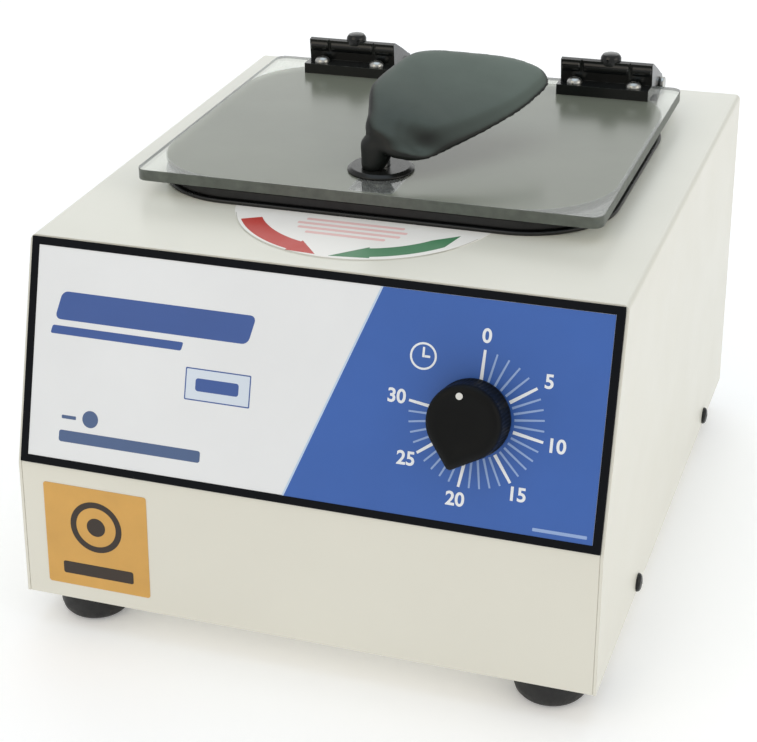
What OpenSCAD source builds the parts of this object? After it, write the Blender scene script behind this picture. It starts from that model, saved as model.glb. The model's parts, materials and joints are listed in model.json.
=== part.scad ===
// Benchtop laboratory centrifuge with a swing-out rotor: a folded steel cabinet with a
// sloped control panel, a clear hinged lid with a turning latch, and a 30 minute
// mechanical timer. The front faces -Y. The origin is on the surface that the feet
// stand on, below the middle of the whole object's box.

/* [Cabinet] */
// Width across the side sheets
cab_w = 305; // [300:1:312]
// Depth from the foot of the front to the rear panel
cab_d = 355; // [350:1:362]
// Height from the bottom edge of the sides to the deck
cab_h = 188; // [186:1:194]
// How far the front edge of the deck sits behind the foot of the front
deck_setback = 39.5; // [36:0.5:42]
// Height of the lower front, up to the sloped panel
lower_h = 75; // [72:1:78]
// How far the lower front leans back over its height
lower_lean = 4; // [3:0.5:5]
// Thickness of the sheet steel
sheet = 1.5; // [1.2:0.1:1.6]
// Gap left between sheets that are assembled together
sheet_gap = 0.1; // [0.1:0.05:0.2]
// How far the fittings stand out of the rear panel
rear_out = 8; // [6:0.5:9]

/* [Feet and screws] */
// Height of a rubber foot
foot_h = 19; // [16:0.5:22]
// Diameter of a rubber foot
foot_d = 38; // [34:1:40]
// Distance between the left and right feet
foot_span_x = 250; // [240:2:256]
// Diameter of the head of a pan-head screw
head_d = 8; // [7:0.5:8.5]
// Height of the head of a pan-head screw
head_h = 2.5; // [2:0.1:3]
// Diameter of the shank of a cabinet screw
shank_d = 4; // [3.5:0.5:4]

/* [Control panel] */
// Width of the black border of the panel
bezel_w = 4; // [3:0.5:5]
// Thickness of the black border
bezel_t = 1.2; // [1:0.1:1.5]
// Thickness of the printed overlay inside the border
overlay_t = 0.8; // [0.5:0.1:0.9]
// Sideways place of the timer
timer_u = 84.4; // [80:0.5:90]
// Place of the timer up the slope
timer_v = 57; // [54:0.5:60]
// Diameter of the timer knob
knob_d = 38; // [36:0.5:40]
// Height of the timer knob
knob_h = 18; // [16:0.5:20]
// Distance from the knob's axis to the tip of its pointer
pointer_r = 25; // [24:0.5:27]
// Angle of the pointer from straight up, clockwise
pointer_angle = 193; // [185:1:200]

/* [Lid] */
// Width of the lid plate
lid_w = 249; // [246:1:252]
// Depth of the lid plate
lid_d = 210; // [208:1:212]
// Thickness of the lid plate
lid_t = 6; // [5.5:0.5:6]
// Height of the underside of the lid above the deck
lid_lift = 8; // [8:0.5:9]
// Distance from the front edge of the deck to the front edge of the lid
lid_setback = 65.5; // [64:0.5:67]
// Distance from the front edge of the deck to the hinge pins
hinge_setback = 283; // [282:0.5:285]
// Sideways places of the two hinges
hinge_x = [-70, 84];
// Distance from the front edge of the deck to the latch axis
latch_setback = 101; // [100:0.5:103]

/* [Bowl and rotor] */
// Inner radius of the guard bowl
bowl_r = 136; // [135:0.5:136]
// Depth of the guard bowl below the deck
bowl_depth = 117; // [116:0.5:118]
// Distance from the front edge of the deck to the rotor axis
bowl_setback = 165; // [164:0.5:166]
// Number of tube carriers
carriers = 6;
// Radius of the circle that the carriers pivot on
pivot_r = 46; // [45:0.5:48]
// Depth of the carrier pivots below the deck
pivot_depth = 32; // [31:0.5:33]
// Length of a carrier below its pivot
carrier_l = 80; // [76:1:81]
// Diameter of the bore that takes the tube
tube_bore = 17; // [16.5:0.1:17.5]

/* [Hidden] */

$fn = 64;
// Overcut that keeps cut faces apart
eps = 0.5;
// Radial clearance of a turning shaft, and of a fixed one
run_gap = 0.05;
fit_gap = 0.02;

// Heights
base_z = foot_h;
deck_z = base_z + cab_h;
floor_z = base_z + sheet;
lid_z = deck_z + lid_lift;
lid_top = lid_z + lid_t;
// The sloped panel's angle and the knob's pointer, which stands out past the front
slope_tilt = atan2(deck_setback - lower_lean, cab_h - lower_h);
pointer_v = timer_v + (pointer_r - 1) * cos(pointer_angle);
pointer_lift = overlay_t + 0.8 + knob_h - 2;
front_out = pointer_lift * cos(slope_tilt) - pointer_v * sin(slope_tilt) - lower_lean;
// Depths
front_y = -(cab_d + rear_out - front_out) / 2;
rear_y = front_y + cab_d;
deck_y = front_y + deck_setback;
lid_y = deck_y + lid_setback;
latch_y = deck_y + latch_setback;
bowl_y = deck_y + bowl_setback;
hinge_y = deck_y + hinge_setback;
hinge_z = lid_top - 1;
// Width between the sides
inner_w = cab_w - 2 * (sheet + sheet_gap);
// The sloped panel
slope_y = front_y + lower_lean;
slope_z = base_z + lower_h;
slope_l = norm([deck_y - slope_y, deck_z - slope_z]);
lower_tilt = atan2(lower_lean, lower_h);
bezel_size = [302, slope_l - 2];
bezel_v = 1.2;
// Turned-over edges of the folded sheets
flange = 12;
rear_flange = 6;
side_flange = 15;
under_deck = deck_z - sheet - sheet_gap;
// Screws through the sides, and the feet
side_screw_y = [deck_y + 57, deck_y + 252];
side_screw_z = base_z + 5.5;
foot_y = [front_y + 25, rear_y - 24];
foot_bore_d = 9;
foot_bore_h = 10;
foot_screw_d = 5;
// The opening in the deck, the trim round it and the gasket
trim_size = [247, 200];
trim_corner = 48;
trim_t = 2;
opening_size = trim_size - [17, 17];
trim_inner = trim_size - [22, 22];
gasket_outer = trim_size - [4, 4];
gasket_inner = trim_size - [16, 16];
gasket_gap = 0.4;
// The two stick-on labels
label_t = 0.3;
deck_label_r = 71;
amber_label_size = 58;
// The bowl's floor and the raised tower that the shaft comes up through
bowl_floor = deck_z - bowl_depth;
tower_top = bowl_floor + 45;
tower_hole_r = 9;
// Shafts
shaft_r = 5;
seat_z = deck_z - pivot_depth;
hub_z = [seat_z - 15, seat_z + 10];
motor_r = 43;
motor_z = [floor_z + 9, floor_z + 21.5, floor_z + 45.5, floor_z + 59.5];
mount_t = 3;
isolator_ring = 52;
// Carriers
carrier_r = 10;
collar_r = 12.5;
pivot_pin_r = 3;
notch_w = 27;
// Hinges
knuckle_r = 6.5;
pin_r = 3;
leaf_w = 53;
leaf_foot = 6;
// Latch
cam_z = deck_z - 8.5;
cam_t = 4;
cam_reach = 28;
handle_z = lid_top + 3;
blade_z = deck_z + 36;
// Rear fittings
inlet_pos = [-100, base_z + 40];
fuse_pos = [-55, base_z + 40];
inlet_open = [24.6, 16.6];
// Printed circuit board
board_pos = [-138, front_y + 30];
board_size = [80, 52, 1.6];
board_lift = 8;
capacitor_pos = [104, front_y + 70];

// ---- helpers ----

function unit(v) = v / norm(v);

function left_of(a, b) = let (d = unit(b - a)) [-d.y, d.x];

// Point i of a path moved by t to the path's left, mitred at the corners
function beside(pts, i, t) =
    i == 0 ? pts[0] + t * left_of(pts[0], pts[1]) :
    i == len(pts) - 1 ? pts[i] + t * left_of(pts[i - 1], pts[i]) :
    let (n = left_of(pts[i - 1], pts[i]), m = unit(n + left_of(pts[i], pts[i + 1])))
    pts[i] + m * t / (m * n);

// Section of a folded sheet: a path and its copy moved to the left by t
module folded(pts, t) {
    polygon(concat(pts, [for (i = [len(pts) - 1:-1:0]) beside(pts, i, t)]));
}

// A section drawn in Y and Z, extruded along X about its middle
module along_x(length) {
    rotate([90, 0, 90]) linear_extrude(length, center = true) children();
}

// A cylinder along X about its middle
module x_rod(r, length) {
    rotate([0, 90, 0]) cylinder(r = r, h = length, center = true);
}

// A rectangle with round corners, about the origin
module round_rect(size, r) {
    square([size.x - 2 * r, size.y], center = true);
    square([size.x, size.y - 2 * r], center = true);
    for (x = [-1, 1], y = [-1, 1])
        translate([x * (size.x / 2 - r), y * (size.y / 2 - r)]) circle(r);
}

// Ring of eight points round point i of a route, square to the route there
function ring(pts, i, r) =
    let (along = unit(pts[min(i + 1, len(pts) - 1)] - pts[max(i - 1, 0)]),
         side = unit(cross(along, [0.3, 0.2, 1])), up = cross(side, along))
    [for (a = [0:45:315]) pts[i] + r * (cos(a) * side + sin(a) * up)];

// A wire swept along a route
module wire(pts, r) {
    last = 8 * (len(pts) - 1);
    polyhedron(
        [for (i = [0:len(pts) - 1]) each ring(pts, i, r)],
        concat(
            [[for (k = [0:7]) k], [for (k = [7:-1:0]) last + k]],
            [for (i = [0:8:last - 8], k = [0:7])
                [i + k, i + 8 + k, i + 8 + (k + 1) % 8, i + (k + 1) % 8]]));
}

// Puts something on the sloped panel: u across, v up the slope, lift off its face
module on_panel(u, v, lift = 0) {
    translate([0, slope_y, slope_z])
        rotate([90 - slope_tilt, 0, 0])
            translate([u, v, lift]) children();
}

// Puts something on the lower front in the same way
module on_lower_front(u, v, lift = 0) {
    translate([0, front_y, base_z])
        rotate([90 - lower_tilt, 0, 0])
            translate([u, v, lift]) children();
}

// A pan-head screw that hangs below its head's seat at the origin
module pan_screw(d, h, shank, length) {
    rotate_extrude() polygon([
        [0, -length], [shank / 2, -length], [shank / 2, 0], [d / 2, 0],
        [d / 2, h * 0.5], [d * 0.35, h], [0, h]]);
}

// A hexagonal nut standing on the origin, w across its flats, with a round hole
module hex_nut(w, h, hole_r) {
    difference() {
        cylinder(r = w / 2 / cos(30), h = h, $fn = 6);
        translate([0, 0, -eps]) cylinder(r = hole_r, h = h + 2 * eps);
    }
}

// ---- cabinet ----

module side_profile() {
    along_x(cab_w + 2) polygon([
        [front_y, base_z], [slope_y, slope_z], [deck_y, deck_z],
        [rear_y, deck_z], [rear_y, base_z]]);
}

// Rectangle with round upper corners, standing on base_z
module arch(w, top, r) {
    translate([-w / 2, base_z - eps]) square([w, top - r - base_z + eps]);
    translate([-w / 2 + r, base_z]) square([w - 2 * r, top - base_z]);
    for (x = [-1, 1]) translate([x * (w / 2 - r), top - r]) circle(r);
}

// Deck and both sides, folded from one sheet
module wrap_cover() {
    color("ivory") difference() {
        intersection() {
            translate([0, rear_y, 0]) rotate([90, 0, 0]) linear_extrude(cab_d)
                difference() {
                    arch(cab_w, deck_z, 3);
                    translate([0, -sheet]) arch(cab_w - 2 * sheet, deck_z, 1.5);
                }
            side_profile();
        }
        translate([0, bowl_y, deck_z - 2 * sheet]) linear_extrude(3 * sheet)
            round_rect(opening_size, trim_corner - 8);
        for (y = side_screw_y)
            translate([0, y, side_screw_z]) x_rod(shank_d / 2 + 0.2, cab_w + 2);
    }
}

// Lower front and sloped panel, folded from one sheet
module front_fascia() {
    top_y = deck_y - (deck_z - under_deck) * tan(slope_tilt);
    color("ivory") difference() {
        along_x(inner_w) folded([
            [front_y + flange, base_z], [front_y, base_z], [slope_y, slope_z],
            [top_y, under_deck], [top_y + flange, under_deck]], -sheet);
        on_panel(timer_u, timer_v, -5) cylinder(r = 5.2, h = 10);
    }
}

module rear_panel() {
    color("ivory") difference() {
        along_x(inner_w) folded([
            [rear_y - rear_flange, base_z], [rear_y, base_z],
            [rear_y, under_deck], [rear_y - rear_flange, under_deck]], sheet);
        translate([inlet_pos.x, rear_y, inlet_pos.y]) cube([27.4, 10, 20.4], center = true);
        translate([fuse_pos.x, rear_y + 5, fuse_pos.y]) rotate([90, 0, 0])
            cylinder(r = 6.2, h = 10);
        for (row = [0, 1], i = [0:9])
            translate([20 + 10 * i, rear_y - 5, base_z + 40 + 55 * row]) cube([4, 10, 40]);
    }
}

// Bottom tray with upturned sides
module base_pan() {
    color("ivory") difference() {
        translate([0, rear_y - rear_flange - sheet_gap, 0]) rotate([90, 0, 0])
            linear_extrude(cab_d - flange - rear_flange - 2 * sheet_gap) folded([
                [-inner_w / 2, base_z + side_flange], [-inner_w / 2, base_z],
                [inner_w / 2, base_z], [inner_w / 2, base_z + side_flange]], sheet);
        for (y = side_screw_y)
            translate([0, y, side_screw_z]) x_rod(shank_d / 2 + 0.2, cab_w + 2);
        at_feet() translate([0, 0, base_z - eps]) cylinder(r = foot_screw_d / 2 + 0.2, h = 4);
        for (x = [-1, 1], i = [0:4])
            translate([x * 92 - 20, bowl_y - 34 + 15 * i, base_z - eps]) cube([40, 4, 4]);
    }
}

module at_feet() {
    for (x = [-1, 1], y = foot_y) translate([x * foot_span_x / 2, y, 0]) children();
}

// A domed rubber foot with a well for its screw
module foot(x, y) {
    r = foot_d / 2;
    color("black") translate([x * foot_span_x / 2, y, 0]) rotate_extrude() polygon([
        [foot_bore_d / 2, 0], [r - 6, 0], [r - 3, 1], [r - 1, 3.5], [r, 7],
        [r, foot_h - 7], [r - 1, foot_h - 3], [r - 3, foot_h],
        [foot_screw_d / 2 + 0.1, foot_h], [foot_screw_d / 2 + 0.1, foot_bore_h],
        [foot_bore_d / 2, foot_bore_h]]);
}

module foot_front_left() { foot(-1, foot_y[0]); }
module foot_front_right() { foot(1, foot_y[0]); }
module foot_rear_left() { foot(-1, foot_y[1]); }
module foot_rear_right() { foot(1, foot_y[1]); }

// Screws up through the feet, with their nuts inside the base pan
module foot_screws() {
    length = floor_z + 6 - foot_bore_h;
    color("silver") at_feet() {
        translate([0, 0, foot_bore_h]) mirror([0, 0, 1])
            pan_screw(head_d, head_h, foot_screw_d, length);
        translate([0, 0, floor_z]) hex_nut(8, 4, foot_screw_d / 2 + fit_gap);
    }
}

module side_screws() {
    color("dimgray") for (x = [-1, 1], y = side_screw_y)
        translate([x * cab_w / 2, y, side_screw_z]) rotate([0, x * 90, 0])
            pan_screw(head_d, head_h, shank_d, 10);
}

// ---- labels and panel dressing ----

module panel_bezel() {
    color("black") on_panel(0, bezel_v + bezel_size.y / 2)
        linear_extrude(bezel_t) difference() {
            square(bezel_size, center = true);
            square(bezel_size - 2 * [bezel_w, bezel_w], center = true);
        }
}

module panel_overlay() {
    size = bezel_size - 2 * [bezel_w + 0.05, bezel_w + 0.05];
    color("royalblue") difference() {
        on_panel(0, bezel_v + bezel_size.y / 2) linear_extrude(overlay_t)
            square(size, center = true);
        on_panel(timer_u, timer_v, -1) cylinder(r = 5.2, h = 5);
    }
}

// Round label in front of the bowl's trim
module deck_label() {
    color("white") difference() {
        translate([1, deck_y + 84, deck_z]) cylinder(r = deck_label_r, h = label_t, $fn = 96);
        translate([0, bowl_y, deck_z - 1]) linear_extrude(3)
            round_rect(trim_size + [0.6, 0.6], trim_corner);
    }
}

module amber_label() {
    color("orange") on_lower_front(-110, 37.5) linear_extrude(label_t)
        round_rect([amber_label_size, amber_label_size], 1.5);
}

// ---- bowl ----

// Guard bowl under the deck, with a raised tower in its floor
module bowl() {
    top = deck_z - sheet;
    color([0.13, 0.13, 0.13]) translate([0, bowl_y, 0]) rotate_extrude($fn = 128) folded([
        [tower_hole_r, tower_top], [18, tower_top], [24, bowl_floor],
        [bowl_r, bowl_floor], [bowl_r, top], [bowl_r + 5, top]], -sheet);
}

// Black frame round the opening in the deck
module bowl_trim() {
    color([0.08, 0.08, 0.08]) translate([0, bowl_y, deck_z]) difference() {
        union() {
            linear_extrude(trim_t) round_rect(trim_size, trim_corner);
            translate([0, 0, -sheet]) linear_extrude(sheet + 1)
                round_rect(opening_size - [0.4, 0.4], trim_corner - 8.2);
        }
        translate([0, 0, -5]) linear_extrude(10) round_rect(trim_inner, trim_corner - 11);
    }
}

// Rubber ring that the lid closes on
module lid_gasket() {
    color([0.05, 0.05, 0.05]) translate([0, bowl_y, deck_z + trim_t])
        linear_extrude(lid_lift - trim_t - gasket_gap) difference() {
            round_rect(gasket_outer, trim_corner - 2);
            round_rect(gasket_inner, trim_corner - 8);
        }
}

module shaft_seal() {
    color("black") translate([0, bowl_y, tower_top]) rotate_extrude() polygon([
        [shaft_r + 0.6, -sheet], [tower_hole_r - fit_gap, -sheet],
        [tower_hole_r - fit_gap, 0], [14, 0], [13, 2], [shaft_r + 0.6, 3.5]]);
}

// ---- lid latch ----

// Plate under the front of the opening that the cam turns beneath
module latch_keeper() {
    color("silver") translate([0, latch_y - 32, deck_z - sheet - 2]) linear_extrude(2)
        round_rect([60, 15], 3);
}

module lid_switch() {
    color([0.2, 0.2, 0.22]) difference() {
        translate([-10, latch_y - 63, deck_z - 16]) cube([20, 20, 14]);
        translate([0, latch_y - 42.5, cam_z + cam_t / 2]) rotate([90, 0, 0])
            cylinder(r = 1.5 + run_gap, h = 12);
    }
}

module switch_plunger() {
    color("white") translate([0, latch_y - 35.4, cam_z + cam_t / 2]) rotate([90, 0, 0])
        cylinder(r = 1.5, h = 14);
}

module latch_escutcheon() {
    color([0.08, 0.08, 0.08]) translate([0, latch_y, 0]) rotate_extrude() polygon([
        [shaft_r + run_gap, lid_z], [8, lid_z], [8, lid_top], [17.5, lid_top],
        [17.5, lid_top + 1], [15.5, lid_top + 2.5], [shaft_r + run_gap, lid_top + 2.5]]);
}

// Places a point of the leaf-shaped grip: across, along, then thickness
module blade_disc(across, along, r, t) {
    translate([across, along, 0]) cylinder(r = r, h = t, center = true, $fn = 32);
}

// Leaf-shaped grip on a short stem
module latch_handle() {
    color([0.12, 0.14, 0.13]) difference() {
        union() {
            translate([0, latch_y, handle_z]) cylinder(r = 8.5, h = 16);
            translate([0, latch_y, blade_z])
                rotate([0, 0, -35]) rotate([10, 0, 0]) rotate([0, 20, 0]) hull() {
                    blade_disc(-2, 2, 8.5, 12);
                    blade_disc(11, 13, 16, 5);
                    blade_disc(-8, 30, 23, 5);
                    blade_disc(-2, 38, 14, 13);
                    blade_disc(4, 40, 26, 5);
                    blade_disc(-8, 50, 27, 4);
                    blade_disc(13, 92, 9, 4);
                }
        }
        translate([0, latch_y, handle_z - eps]) cylinder(r = shaft_r + fit_gap, h = 12.5);
    }
}

module latch_shaft() {
    color("silver") translate([0, latch_y, 0]) {
        translate([0, 0, cam_z - 5]) cylinder(r = shaft_r, h = handle_z + 11.5 - cam_z + 5);
        translate([0, 0, lid_z - 3.4]) cylinder(r = 10, h = 3);
    }
}

// Bar that turns under the keeper
module latch_cam() {
    color("gainsboro") translate([0, latch_y, cam_z]) difference() {
        linear_extrude(cam_t) union() {
            circle(9);
            translate([0, -6]) square([cam_reach, 12]);
            translate([cam_reach, 0]) circle(6);
        }
        translate([0, 0, -eps]) cylinder(r = shaft_r + fit_gap, h = cam_t + 2 * eps);
    }
}

module latch_nut() {
    color("silver") translate([0, latch_y, cam_z - 5]) hex_nut(15, 5, shaft_r + fit_gap);
}

// ---- lid and hinges ----

module lid_plate() {
    color([0.75, 0.78, 0.75, 0.4]) difference() {
        translate([0, lid_y + lid_d / 2, lid_z]) linear_extrude(lid_t)
            round_rect([lid_w, lid_d], 6);
        translate([0, latch_y, lid_z - eps]) cylinder(r = 8 + fit_gap, h = lid_t + 2 * eps);
        for (x = hinge_x, s = [-1, 1])
            translate([x + 17 * s, hinge_y - 31.5, lid_z - eps])
                cylinder(r = shank_d / 2 + fit_gap, h = lid_t + 2 * eps);
    }
}

// Hinge half on the deck: a foot plate with a knuckle in the middle
module hinge_base(x) {
    color([0.1, 0.1, 0.1]) translate([x, 0, 0]) difference() {
        union() {
            translate([-26, hinge_y - 5, deck_z]) cube([52, 24, 4]);
            translate([-17, hinge_y - 5, deck_z]) cube([34, 10, hinge_z - deck_z]);
            translate([0, hinge_y, hinge_z]) x_rod(knuckle_r, 34);
        }
        translate([0, hinge_y, hinge_z]) x_rod(pin_r + fit_gap, 80);
        for (s = [-1, 1]) translate([17 * s, hinge_y + 13, deck_z - 1])
            cylinder(r = shank_d / 2 + 0.2, h = 10);
    }
}

module hinge_base_left() { hinge_base(hinge_x[0]); }
module hinge_base_right() { hinge_base(hinge_x[1]); }

module hinge_base_screws() {
    color("silver") for (x = hinge_x, s = [-1, 1])
        translate([x + 17 * s, hinge_y + 13, deck_z + 4])
            pan_screw(head_d, head_h, shank_d, 4);
}

module hinge_pins() {
    color("silver") for (x = hinge_x) translate([x, hinge_y, hinge_z]) {
        x_rod(pin_r, 54);
        translate([27.9, 0, 0]) x_rod(pin_r + 1.5, 2);
    }
}

// Hinge half on the lid: a screwed foot, a raised block, and a knuckle at each end
module hinge_leaf(x) {
    color([0.1, 0.1, 0.1]) translate([x, 0, 0]) difference() {
        union() {
            along_x(leaf_w) polygon([
                [hinge_y - 37, lid_top], [hinge_y - 37, lid_top + leaf_foot],
                [hinge_y - 26, lid_top + leaf_foot], [hinge_y - 27, lid_top + 18],
                [hinge_y - 24, lid_top + 18.5], [hinge_y - 9, lid_top + 11],
                [hinge_y - 9, lid_top]]);
            for (s = [-1, 1]) translate([s * (leaf_w / 2 - 4.4), 0, 0]) {
                along_x(8.8) polygon([
                    [hinge_y - 10, lid_top], [hinge_y - 10, lid_top + 11.5],
                    [hinge_y, lid_top + 6], [hinge_y, hinge_z], [hinge_y - 6, lid_top]]);
                translate([0, hinge_y, hinge_z]) x_rod(knuckle_r, 8.8);
            }
        }
        translate([0, hinge_y, hinge_z]) x_rod(pin_r + run_gap, 80);
        at_leaf_screws() translate([0, 0, lid_top - 1]) cylinder(r = shank_d / 2 + 0.2, h = 12);
    }
}

module at_leaf_screws() {
    for (s = [-1, 1]) translate([17 * s, hinge_y - 31.5, 0]) children();
}

module hinge_leaf_left() { hinge_leaf(hinge_x[0]); }
module hinge_leaf_right() { hinge_leaf(hinge_x[1]); }

// Screws that hold the leaves in tapped holes in the lid, and the tension screws on top
module hinge_leaf_screws() {
    color("gainsboro") for (x = hinge_x) translate([x, 0, 0]) {
        at_leaf_screws() translate([0, 0, lid_top + leaf_foot])
            pan_screw(head_d, head_h, shank_d, leaf_foot + lid_t - 0.2);
        translate([0, hinge_y - 25.5, lid_top + 18.5]) cylinder(r = 4.5, h = 5);
    }
}

// ---- timer ----

module timer_body() {
    color("gray") difference() {
        union() {
            on_panel(timer_u - 30, timer_v - 28, -sheet - 40) cube([60, 56, 40]);
            on_panel(timer_u, timer_v, -sheet - 1) cylinder(r = 5, h = sheet + 5.5);
        }
        on_panel(timer_u, timer_v, -20) cylinder(r = 3 + run_gap, h = 40);
    }
}

module timer_nut() {
    color("silver") on_panel(timer_u, timer_v, overlay_t) hex_nut(14, 3, 5 + fit_gap);
}

module timer_shaft() {
    color("silver") on_panel(timer_u, timer_v, -19) cylinder(r = 3, h = 33);
}

// Round knob with a pointed side
module timer_knob() {
    r = knob_d / 2;
    touch = acos(r / pointer_r);
    color([0.07, 0.07, 0.07]) on_panel(timer_u, timer_v, overlay_t + 0.8)
        rotate([0, 0, -pointer_angle]) difference() {
            union() {
                linear_extrude(knob_h - 2) {
                    circle(r);
                    polygon([
                        [0, 0], [-r * sin(touch), r * cos(touch)], [-1, pointer_r - 1],
                        [1, pointer_r - 1], [r * sin(touch), r * cos(touch)]]);
                }
                rotate_extrude() polygon([
                    [0, 0], [r, 0], [r, knob_h - 2], [r - 2, knob_h], [0, knob_h]]);
            }
            translate([0, 0, -eps]) cylinder(r = 12, h = 5 + eps);
            translate([0, 0, -eps]) cylinder(r = 3 + fit_gap, h = 14);
        }
}

// ---- rear fittings ----

// Mains inlet with a recessed three-pin socket
module power_inlet() {
    color([0.1, 0.1, 0.1]) translate([inlet_pos.x, rear_y, inlet_pos.y]) {
        difference() {
            union() {
                translate([-25, 0, -14]) cube([50, 3, 28]);
                translate([-13.5, -20, -10]) cube([27, 21, 20]);
            }
            translate([-inlet_open.x / 2, -14, -inlet_open.y / 2])
                cube([inlet_open.x, 20, inlet_open.y]);
        }
        for (p = [[-7, -2], [7, -2], [0, 2]])
            translate([p.x - 1, -15, p.y - 2]) cube([2, 11, 4]);
    }
}

module fuse_holder() {
    color([0.12, 0.12, 0.12]) translate([fuse_pos.x, rear_y, fuse_pos.y]) rotate([-90, 0, 0]) {
        translate([0, 0, -28]) cylinder(r = 6, h = 29);
        cylinder(r = 9, h = 2);
        translate([0, 0, 1]) cylinder(r = 7, h = rear_out - 1);
    }
}

// ---- motor ----

module at_rotor(z) {
    translate([0, bowl_y, z]) children();
}

module motor_housing() {
    color("silver") at_rotor(motor_z[1]) difference() {
        cylinder(r = motor_r, h = motor_z[2] - motor_z[1]);
        translate([0, 0, -eps]) cylinder(r = motor_r - 3, h = 60);
    }
}

// End cap with a bearing bore; its hollow faces up
module end_bell(h) {
    difference() {
        cylinder(r = motor_r + 1.5, h = h);
        translate([0, 0, 3]) cylinder(r = motor_r - 4, h = h);
        translate([0, 0, -eps]) cylinder(r = shaft_r + run_gap, h = h + 2 * eps);
    }
}

module motor_bottom_bell() {
    color("slategray") at_rotor(motor_z[0]) end_bell(motor_z[1] - motor_z[0]);
}

module motor_top_bell() {
    color("slategray") at_rotor(motor_z[3]) mirror([0, 0, 1]) end_bell(motor_z[3] - motor_z[2]);
}

module at_isolators() {
    for (a = [45:90:315]) rotate([0, 0, a]) translate([isolator_ring, 0, 0]) children();
}

module motor_mount() {
    color("gray") at_rotor(motor_z[0] - mount_t) difference() {
        cylinder(r = 60, h = mount_t);
        translate([0, 0, -eps]) cylinder(r = 12, h = mount_t + 2 * eps);
        at_isolators() translate([0, 0, -eps]) cylinder(r = 2.2, h = mount_t + 2 * eps);
    }
}

module motor_isolators() {
    color("black") at_rotor(floor_z) at_isolators()
        cylinder(r = 7, h = motor_z[0] - mount_t - floor_z);
}

module motor_armature() {
    color("peru") at_rotor(motor_z[1] - 5) difference() {
        cylinder(r = 32, h = motor_z[2] - motor_z[1] + 10);
        translate([0, 0, -eps]) cylinder(r = shaft_r + fit_gap, h = 60);
    }
}

// Cooling fan with flat blades
module motor_fan() {
    color("dimgray") at_rotor(motor_z[3] + 1) difference() {
        union() {
            cylinder(r = 34, h = 1.5);
            cylinder(r = 9, h = 5.5);
            for (a = [0:30:330]) rotate([0, 0, a]) translate([14, -0.6, 0]) cube([19, 1.2, 5.5]);
        }
        translate([0, 0, -eps]) cylinder(r = shaft_r + fit_gap, h = 10);
    }
}

// ---- rotor ----

module rotor_shaft() {
    color("silver") at_rotor(motor_z[0] - 1) cylinder(r = shaft_r, h = hub_z[1] + 5 - motor_z[0] + 1);
}

// Hub and plate with a notch for each carrier
module rotor_spider() {
    color([0.15, 0.15, 0.15]) at_rotor(0) difference() {
        union() {
            translate([0, 0, hub_z[0]]) cylinder(r = 18, h = hub_z[1] - hub_z[0]);
            translate([0, 0, seat_z - 6]) cylinder(r = pivot_r + 9, h = 12, $fn = 96);
        }
        translate([0, 0, hub_z[0] - eps]) cylinder(r = shaft_r + fit_gap, h = 40);
        for (i = [0:carriers - 1]) rotate([0, 0, i * 360 / carriers]) {
            translate([22, -9.5, seat_z - 10]) cube([50, 19, 30]);
            translate([pivot_r - 14, -notch_w / 2, seat_z - 10]) cube([50, notch_w, 30]);
            translate([pivot_r, 0, seat_z]) rotate([90, 0, 0])
                cylinder(r = pivot_pin_r + run_gap, h = 41, center = true);
            translate([pivot_r - pivot_pin_r - run_gap, -20.5, seat_z])
                cube([2 * (pivot_pin_r + run_gap), 41, 10]);
        }
    }
}

module rotor_nut() {
    color("silver") at_rotor(hub_z[1]) hex_nut(17, 5, shaft_r + fit_gap);
}

// Tube carrier that hangs from its two pivot pins
module carrier(i) {
    wall = carrier_r - tube_bore / 2;
    color([0.18, 0.18, 0.2]) at_rotor(seat_z) rotate([0, 0, (i - 1) * 360 / carriers])
        translate([pivot_r, 0, 0]) difference() {
            union() {
                translate([0, 0, carrier_r - carrier_l]) cylinder(r = carrier_r, h = carrier_l);
                translate([0, 0, carrier_r - carrier_l]) sphere(carrier_r);
                translate([0, 0, -7]) cylinder(r = collar_r, h = 15);
                rotate([90, 0, 0]) cylinder(r = pivot_pin_r, h = 40, center = true);
            }
            translate([0, 0, carrier_r - carrier_l]) cylinder(r = tube_bore / 2, h = carrier_l + 20);
            translate([0, 0, carrier_r - carrier_l]) sphere(carrier_r - wall);
        }
}

module carrier_1() { carrier(1); }
module carrier_2() { carrier(2); }
module carrier_3() { carrier(3); }
module carrier_4() { carrier(4); }
module carrier_5() { carrier(5); }
module carrier_6() { carrier(6); }

// ---- electrics ----

module at_board_corners() {
    for (x = [5, board_size.x - 5], y = [5, board_size.y - 5])
        translate([board_pos.x + x, board_pos.y + y, floor_z]) children();
}

module board_standoffs() {
    color("white") at_board_corners() cylinder(r = 3, h = board_lift);
}

module control_board() {
    color("darkgreen") translate([board_pos.x, board_pos.y, floor_z + board_lift]) {
        cube(board_size);
        translate([12, 12, 0]) cube([28, 14, 17]);
        translate([48, 10, 0]) cube([18, 10, 20]);
        translate([12, 38, 0]) cube([50, 9, 12]);
    }
}

module capacitor() {
    color("lightgray") translate([capacitor_pos.x, capacitor_pos.y, floor_z]) {
        cylinder(r = 17, h = 55);
        for (s = [-1, 1]) translate([6 * s - 1, -3, 50]) cube([2, 6, 12]);
    }
}

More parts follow.
